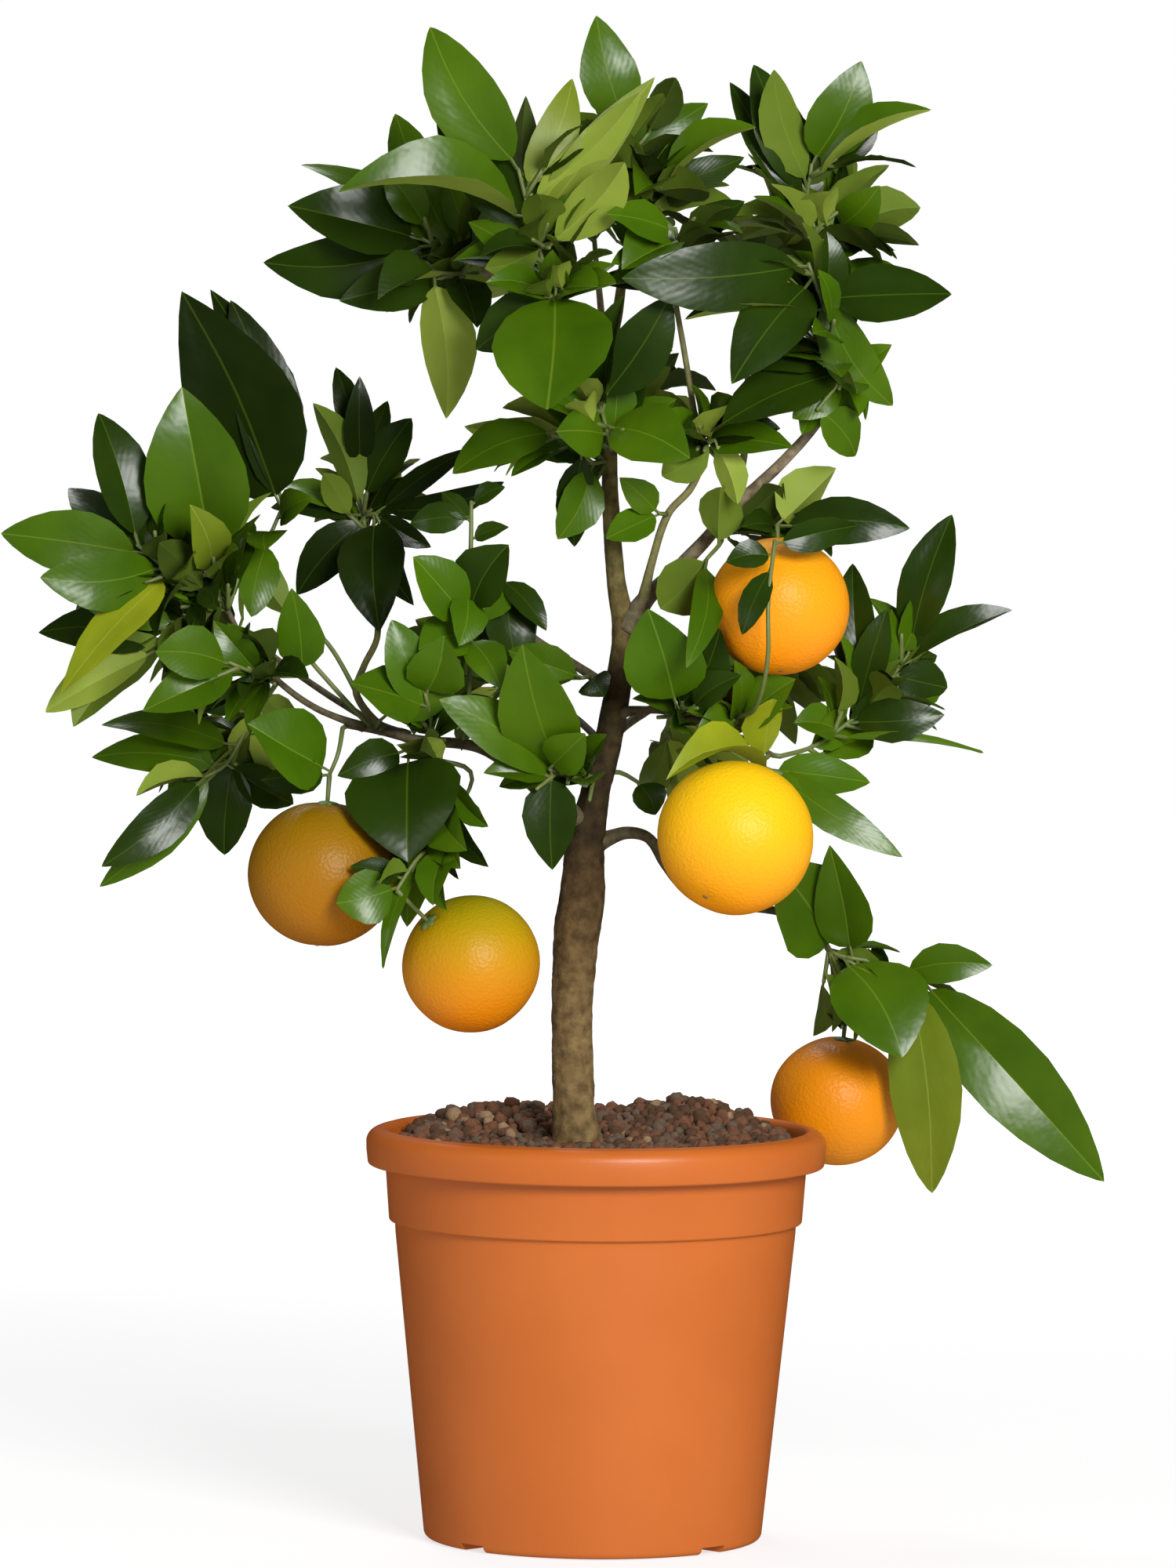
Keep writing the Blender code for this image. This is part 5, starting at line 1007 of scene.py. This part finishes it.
TONES = ("dark", "dark", "green", "green", "green", "bright")
twigs, leaves = {}, {}
for name, mass in MASSES.items():
    twigs[name], leaves[name] = [], []
    for shoot in mass.shoots:
        course = [Vector(p) for p in shoot.path]
        if twigs[name]:
            twigs[name].append(smooth_path([nearest_on(twigs[name], course[0])[0], *course], 6))
        else:
            start, collar = stem_start(mass)
            twigs[name].append([start, *smooth_path([collar, *course], 6)])
    if mass.orange:
        centre = Vector(mass.orange.centre)
        start, _ = nearest_on(twigs[name], centre)
        twigs[name].append([start, centre + (start - centre).normalized() * (mass.orange.radius - 3)])
marked_leaves = []


def place_marked(name, base, marked, chance):
    """Puts a marked leaf on its twig, a little nearer or farther where something is in its way."""
    steep = marked.facing in (UP, SLANT)
    fold = chance.uniform(*(STEEP_FOLDS if steep else BACK_FOLDS if marked.facing == BACK else FLAT_FOLDS))
    roll = chance.choice((-1, 1)) * chance.uniform(*ROLLS)
    tilt = math.radians(chance.uniform(*STEEP_TILTS))
    for shift in DEPTH_SHIFTS:
        tip = Vector(marked.tip) + Vector((0, shift, 0))
        facing = Matrix.Rotation(math.radians(roll), 3, tip - base) @ marked.facing
        if steep:
            facing = Vector((0, -math.sin(tilt), math.cos(tilt)))
        leaf = Blade(base, tip, facing, marked.width, marked.arch, marked.tone, fold)
        if has_room(leaf):
            leaves[name].append(leaf)
            marked_leaves.append(leaf)
            return
    print("NOROOM", name, tuple(marked.tip))


for name, mass in MASSES.items():
    chance = random.Random(name + " rolls")
    for path, shoot in zip(twigs[name], mass.shoots):
        for k, marked in enumerate(shoot.marked):
            place_marked(name, along_path(path, FIRST_NODE + k * NODE_SPACING)[0], marked, chance)
for name, course in BARE_TWIGS:
    twigs[name].append(smooth_path(course, 6))
for name, place, marked in EXTRA:
    place_marked(name, nearest_on(twigs[name], Vector(place))[0], marked, random.Random(name))
for name, mass in MASSES.items():
    chance = random.Random(name)
    for path, shoot in zip(list(twigs[name]), mass.shoots):
        for side in side_twigs(path, shoot.side, SIDE_TWIG_LENGTH, SIDE_TWIG_LENGTH, chance):
            twigs[name].append(side)
            leaves[name] += grow_leaves(mass, side, 0, SIDE_TWIG_LEAVES, shoot.length, chance,
                                        chance.choice(TONES))
        if shoot.length < LEAST_LENGTH:
            continue
        reach = sum((b - a).length for a, b in zip(path, path[1:]))
        nodes = max(shoot.leaves, min(int(reach / NODE_SPACING), MOST_ON_SHOOT))
        leaves[name] += grow_leaves(mass, path, len(shoot.marked), nodes, shoot.length, chance,
                                    chance.choice(TONES))
for name, mass in MASSES.items():
    chance = random.Random(name + " fine")
    for path, shoot in zip(list(twigs[name]), mass.shoots):
        if shoot.length < LEAST_LENGTH:
            continue
        length = max(shoot.length * FINE_SHARE, LEAST_LENGTH)
        for side in side_twigs(path, FINE_TWIGS, FINE_LENGTH, FINE_SPACING, chance):
            tone = chance.choice(TONES)
            fine = grow_leaves(mass, side, 0, FINE_LEAVES, length, chance, tone)
            if fine:
                twigs[name].append(side)
                leaves[name] += fine
print("leaves:", sum(map(len, leaves.values())), "twigs:", sum(map(len, twigs.values())))

# Twigs are round, green and as thick as a match or thinner, and taper a little to their tips.
points, faces = [], []
for name in MASSES:
    for path in twigs[name]:
        radii = np.linspace(TWIG_RADIUS, TWIG_TIP_RADIUS, len(path))
        twig_points, twig_faces = limb(path, radii, 8, 4)
        faces += [tuple(i + len(points) for i in face) for face in twig_faces]
        points += [tuple(MM * c for c in p) for p in twig_points]
twig_bark = paint("green_twig", (0.085, 0.13, 0.025), 0.5, (0.13, 0.15, 0.04), 200, 0.5, 0.1, 1500)
twig_piece = joined("twigs", points, faces, [0] * len(faces), [twig_bark])
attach(twig_piece, "root")

# A leaf is a leathery blade with a glossy upper side, a paler matt underside and a midrib that stands out
# below, on a short stalk. Each is a closed shell that folds up from its midrib: five points above and
# three below in each row, seven rows on a small leaf and ten on a large one.
LARGE_LEAF = 50
ROWS = (7, 10)
COLUMNS = (-1, -0.5, 0, 0.5, 1)
UNDER_COLUMNS = (-0.5, 0, 0.5)
RING = (0, 1, 2, 3, 4, 7, 6, 5)
POINTEDNESS = 1.5
WIDEST_AT = (0.36, 0.46)
FULLNESS = 1.11
STALK_SHARE = 0.1
STALK_LENGTH = 7
STALK_RADIUS = 0.75
RIB_THICKNESS = 0.95
BLADE_THICKNESS = 0.5
# The darkest tone is painted shade: the dark green darkened further for leaves that sit in the crown's shade.
LEAF_TONES = {"dark": 0, "green": 1, "bright": 2, "yellow": 3, "olive": 4, "painted_shade_green": 8}
UNDER_PALE_SLOT = 6
UNDER_SLOTS = {"painted_shade_green": 7, "dark": 7, "green": 5, "bright": 6, "yellow": 3, "olive": 6}
STALK_SLOT = 9


def leaf_shell(leaf, chance):
    """Points, faces, slots and UVs of one leaf, in millimetres."""
    base, width, arch = leaf.base, leaf.width, leaf.arch
    along, length, normal, side = leaf_frame(leaf)
    stalk = min(length * STALK_SHARE, STALK_LENGTH)
    blade = length - stalk
    fold = math.tan(math.radians(leaf.fold))
    widest = chance.uniform(*WIDEST_AT)
    sway = chance.uniform(-0.06, 0.06) * length
    twist = chance.uniform(-0.35, 0.35)
    wave, wave_turn = chance.uniform(0.02, 0.07), chance.uniform(0, 2 * math.pi)
    rows = ROWS[length > LARGE_LEAF]
    points, uvs = [], []

    def put(share, column, lift, half):
        across = column * half
        rise = 4 * share * (1 - share) * arch * length
        edge = column**2 * half * wave * math.sin(share * 13 + wave_turn + (2 if column > 0 else 0))
        curl = abs(across) * fold - column**2 * half * 0.15
        roll = twist * share
        out = side * math.cos(roll) + normal * math.sin(roll)
        up = normal * math.cos(roll) - side * math.sin(roll)
        spot = base + along * (stalk + share * blade) + side * math.sin(math.pi * share) * sway + normal * rise
        points.append(spot + out * across + up * (curl + edge + lift))
        uvs.append((0.5 + across / width, share))

    for row in range(rows):
        share = 0.5 - 0.5 * math.cos(math.pi * row / rows)
        rise = (share / widest) ** (POINTEDNESS * widest)
        fall = ((1 - share) / (1 - widest)) ** (POINTEDNESS * (1 - widest))
        half = max(width / 2 * FULLNESS * rise * fall, STALK_RADIUS)
        thin = 1 - 0.5 * share
        for column in COLUMNS:
            put(share, column, 0, half)
        for column in UNDER_COLUMNS:
            put(share, column, -thin * (BLADE_THICKNESS if column else RIB_THICKNESS), half)
    put(1, 0, 0, 0)
    top_slot = LEAF_TONES[leaf.tone]
    under_slot = UNDER_PALE_SLOT if leaf.fold > STEEP_FOLDS[0] else UNDER_SLOTS[leaf.tone]
    faces, slots = [], []
    for row in range(rows):
        here, beyond = row * len(RING), (row + 1) * len(RING)
        for k, (a, b) in enumerate(zip(RING, RING[1:] + RING[:1])):
            below = k >= len(COLUMNS) - 1
            if row == rows - 1:
                faces.append((here + a, here + b, len(points) - 1))
            elif below:
                faces.append((here + b, beyond + b, beyond + a, here + a))
            else:
                faces.append((here + a, here + b, beyond + b, beyond + a))
            slots.append(under_slot if below else top_slot)
    faces.append(tuple(reversed(RING)))
    first = len(points)
    for step in range(2):
        spot = base + along * stalk * 1.15 * step
        for corner in range(4):
            turn = math.pi / 2 * corner
            points.append(spot + (side * math.cos(turn) + normal * math.sin(turn)) * STALK_RADIUS)
            uvs.append((0.5, 0))
    faces += [(first + k, first + (k + 1) % 4, first + 4 + (k + 1) % 4, first + 4 + k) for k in range(4)]
    faces += [(first + 3, first + 2, first + 1, first), (first + 4, first + 5, first + 6, first + 7)]
    slots += [STALK_SLOT] * 7
    return points, faces, slots, uvs


# Leaf skin is green by its age, and darkest where a painted shade stands in for the crown's shade, with a
# thin pale midrib and side veins in low relief, laid out along the leaf's own map, and a slightly uneven
# surface that breaks up its shine.
RIB_WIDTH = 0.016
VEIN_SLANT = 0.9
VEIN_ROWS = 62
UNEVEN_SCALE = 110


def leaf_paint(name, colour, other, rib, roughness, specular):
    """Leaf skin whose colour wanders between two, with the rib's colour along the middle of its map."""
    made = paint(name, colour, roughness, other, 24, 0.6, specular=specular)
    nodes, links = made.node_tree.nodes, made.node_tree.links
    shader = nodes["Principled BSDF"]

    def reckon(operation, first, second=None, third=None):
        node = nodes.new("ShaderNodeMath")
        node.operation = operation
        for socket, value in zip(node.inputs, (first, second, third)):
            if isinstance(value, (int, float)):
                socket.default_value = value
            elif value is not None:
                links.new(value, socket)
        return node.outputs["Value"]

    own = nodes.new("ShaderNodeUVMap")
    own.uv_map = "leaf"
    parts = nodes.new("ShaderNodeSeparateXYZ")
    links.new(own.outputs["UV"], parts.inputs["Vector"])
    out = reckon("ABSOLUTE", reckon("SUBTRACT", parts.outputs["X"], 0.5))
    in_rib = reckon("SMOOTH_MIN", reckon("DIVIDE", out, RIB_WIDTH), 1, 0.3)
    colours = nodes.new("ShaderNodeMix")
    colours.data_type = "RGBA"
    ramp = next(node for node in nodes if node.type == "VALTORGB")
    links.new(in_rib, colours.inputs["Factor"])
    colours.inputs["A"].default_value = (*rib, 1)
    links.new(ramp.outputs["Color"], colours.inputs["B"])
    links.new(colours.outputs["Result"], shader.inputs["Base Color"])
    veins = reckon("SINE", reckon("MULTIPLY", reckon("MULTIPLY_ADD", out, -VEIN_SLANT, parts.outputs["Y"]),
                                  VEIN_ROWS))
    place = next(node for node in nodes if node.type == "TEX_COORD")
    uneven = nodes.new("ShaderNodeTexNoise")
    uneven.inputs["Scale"].default_value = UNEVEN_SCALE
    links.new(place.outputs["Object"], uneven.inputs["Vector"])
    relief = nodes.new("ShaderNodeBump")
    relief.inputs["Strength"].default_value = 0.5
    relief.inputs["Distance"].default_value = 0.014 * MM
    links.new(reckon("MULTIPLY_ADD", uneven.outputs["Fac"], 40, veins), relief.inputs["Height"])
    links.new(relief.outputs["Normal"], shader.inputs["Normal"])
    return made


leaf_paints = [
    leaf_paint("leaf_dark", (0.008, 0.020, 0.001), (0.019, 0.041, 0.002), (0.045, 0.085, 0.004), 0.27, 0.25),
    leaf_paint("leaf_green", (0.027, 0.068, 0.001), (0.060, 0.121, 0.002), (0.10, 0.16, 0.01), 0.27, 0.28),
    leaf_paint("leaf_bright", (0.029, 0.078, 0.001), (0.062, 0.13, 0.002), (0.11, 0.18, 0.01), 0.3, 0.25),
    leaf_paint("leaf_yellow", (0.13, 0.18, 0.004), (0.27, 0.29, 0.009), (0.27, 0.30, 0.03), 0.42, 0.2),
    leaf_paint("leaf_olive", (0.09, 0.135, 0.006), (0.15, 0.195, 0.012), (0.20, 0.25, 0.03), 0.42, 0.2),
    leaf_paint("leaf_under", (0.075, 0.12, 0.009), (0.115, 0.17, 0.015), (0.13, 0.18, 0.025), 0.55, 0.15),
    leaf_paint("leaf_under_pale", (0.16, 0.225, 0.022), (0.23, 0.29, 0.038), (0.24, 0.29, 0.05), 0.55, 0.15),
    leaf_paint("leaf_under_dark", (0.03, 0.05, 0.005), (0.055, 0.085, 0.009), (0.07, 0.10, 0.015), 0.5, 0.15),
    # Painted shade: the darkest leaf green, for leaves in the crown's shade.
    leaf_paint("leaf_painted_shade", (0.005, 0.011, 0.001), (0.012, 0.025, 0.002), (0.035, 0.065, 0.004), 0.27, 0.22),
    twig_bark,
]
GROUPS = {
    "leaves_top": ("top", "front", "centre", "far_left", "right_top", "right_front", "right_lower", "leader",
                   "back_right", "back_low", "low_middle", "low_centre"),
    "leaves_left": ("left", "dark", "fruit_far_left", "fruit_near_left"),
    "leaves_right": ("",),
}
taken = set()
for group, keys in GROUPS.items():
    members = [name for name in MASSES if name not in taken and any(key in name for key in keys)]
    taken.update(members)
    points, faces, slots, uvs = [], [], [], []
    for name in members:
        chance = random.Random(name + " blades")
        for leaf in leaves[name]:
            shell = leaf_shell(leaf, chance)
            faces += [tuple(i + len(points) for i in face) for face in shell[1]]
            points += [tuple(p * MM) for p in shell[0]]
            slots += shell[2]
            uvs += shell[3]
    piece = joined(group, points, faces, slots, leaf_paints, uvs)
    print(group, len(members), "masses,", len(faces), "faces")
    only(piece)
    bpy.ops.object.shade_smooth_by_angle(angle=math.radians(32))
    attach(piece, "root")
    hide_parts(*members)


# Five ripe oranges hang in the crown, 62 to 74 mm across and a little flattened, with a pitted peel, a
# green button at the stem and a small scar at the other end. Each has ripened to its own colour, but the
# far-left fruit's dim peel and the near-left fruit's dark top are partly painted shade of the leaves over
# them. One ball, one button and one scar are modelled, and their copies are joined.
ORANGE_FLATNESS = 0.97
STEM_DIMPLE = 1.6
STEM_DIMPLE_ANGLE = 11
SCAR_DIMPLE = 0.5
SCAR_DIMPLE_ANGLE = 7
PEEL_UNEVEN = 0.5
BUTTON_RADIUS = 4.4
BUTTON_HEIGHT = 1.4
BUTTON_LOBES = 5
SCAR_RADIUS = 1.5
# Peel colours, upper and lower: the far-left fruit's dim peel and the near-left fruit's dark top are partly painted
# shade of the leaves over them.
PEELS_AND_PAINTED_SHADE = {
    "fruit_far_left": ((0.22, 0.12, 0.001), (0.36, 0.12, 0.001)),
    "fruit_near_left": ((0.27, 0.24, 0.002), (0.68, 0.17, 0.001)),
    "fruit_right_top": ((0.74, 0.30, 0.003), (0.76, 0.22, 0.002)),
    "fruit_right": ((0.80, 0.50, 0.005), (0.78, 0.25, 0.002)),
    "fruit_right_low": ((0.62, 0.20, 0.002), (0.66, 0.22, 0.002)),
}


def ball(segments, rings):
    """Points and faces of a unit ball, pole up."""
    bpy.ops.object.select_all(action="DESELECT")
    bpy.ops.mesh.primitive_uv_sphere_add(segments=segments, ring_count=rings, radius=1)
    template = bpy.context.active_object
    shape = ([v.co.copy() for v in template.data.vertices], [tuple(p.vertices) for p in template.data.polygons])
    bpy.data.objects.remove(template)
    return shape


def peel_paint(name, upper, lower, orange):
    """Peel whose colour passes from upper to lower down the fruit, with pits in its relief."""
    made = paint(name, upper, 0.42, specular=0.2)
    nodes, links = made.node_tree.nodes, made.node_tree.links
    ramp = next(node for node in nodes if node.type == "VALTORGB")
    place = next(node for node in nodes if node.type == "TEX_COORD")
    ramp.color_ramp.elements[0].position = 0.0
    ramp.color_ramp.elements[1].position = 1.0
    ramp.color_ramp.elements[0].color = (*lower, 1)
    ramp.color_ramp.elements[1].color = (*upper, 1)
    parts = nodes.new("ShaderNodeSeparateXYZ")
    links.new(place.outputs["Object"], parts.inputs["Vector"])
    height = nodes.new("ShaderNodeMapRange")
    height.inputs["From Min"].default_value = (orange.centre[2] - orange.radius) * MM
    height.inputs["From Max"].default_value = (orange.centre[2] + orange.radius) * MM
    links.new(parts.outputs["Z"], height.inputs["Value"])
    links.new(height.outputs["Result"], ramp.inputs["Fac"])
    pits = nodes.new("ShaderNodeTexVoronoi")
    pits.inputs["Scale"].default_value = 620
    links.new(place.outputs["Object"], pits.inputs["Vector"])
    relief = nodes.new("ShaderNodeBump")
    relief.inputs["Strength"].default_value = 0.6
    relief.inputs["Distance"].default_value = 0.35 * MM
    links.new(pits.outputs["Distance"], relief.inputs["Height"])
    links.new(relief.outputs["Normal"], nodes["Principled BSDF"].inputs["Normal"])
    return made


orange_ball, small_ball = ball(64, 40), ball(20, 10)
BUTTON_SLOT, SCAR_SLOT = len(PEELS_AND_PAINTED_SHADE), len(PEELS_AND_PAINTED_SHADE) + 1
peel_paints, points, faces, slots = [], [], [], []
for seed, (name, (upper, lower)) in enumerate(PEELS_AND_PAINTED_SHADE.items()):
    orange = MASSES[name].orange
    centre = Vector(orange.centre)
    stem, _ = nearest_on(twigs[name][:len(MASSES[name].shoots)], centre)
    turn = Vector((0, 0, 1)).rotation_difference(stem - centre).to_matrix()
    pole = orange.radius * ORANGE_FLATNESS
    peel_paints.append(peel_paint(f"peel_{seed}", upper, lower, orange))

    def peel_point(ray):
        polar = math.degrees(math.acos(max(-1, min(1, ray.z))))
        dip = STEM_DIMPLE * math.exp(-(polar / STEM_DIMPLE_ANGLE) ** 2)
        dip += SCAR_DIMPLE * math.exp(-((180 - polar) / SCAR_DIMPLE_ANGLE) ** 2)
        dip += noise.noise(ray * 1.6 + Vector((seed * 5, 0, 0))) * PEEL_UNEVEN
        return Vector((ray.x, ray.y, ray.z * ORANGE_FLATNESS)) * (orange.radius - dip)

    def button_point(ray):
        lobes = 1 + 0.28 * math.cos(BUTTON_LOBES * math.atan2(ray.y, ray.x)) * math.hypot(ray.x, ray.y)
        reach = BUTTON_RADIUS * lobes
        return Vector((ray.x * reach, ray.y * reach, ray.z * BUTTON_HEIGHT + pole - 1.1))

    def scar_point(ray):
        return Vector((ray.x * SCAR_RADIUS, ray.y * SCAR_RADIUS, ray.z * 0.5 - pole + 0.55))

    for (rays, ball_faces), shaped, slot in ((orange_ball, peel_point, seed), (small_ball, button_point, BUTTON_SLOT),
                                             (small_ball, scar_point, SCAR_SLOT)):
        faces += [tuple(i + len(points) for i in face) for face in ball_faces]
        points += [tuple((centre + turn @ shaped(ray)) * MM) for ray in rays]
        slots += [slot] * len(ball_faces)
fruit = joined("oranges", points, faces, slots, [
    *peel_paints,
    paint("button_green", (0.07, 0.14, 0.03), 0.6, (0.12, 0.18, 0.05), 400, 0.5, 0.2, 1500),
    paint("scar_brown", (0.22, 0.10, 0.03), 0.7, (0.3, 0.15, 0.05), 600, 0.5)])
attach(fruit, "root")
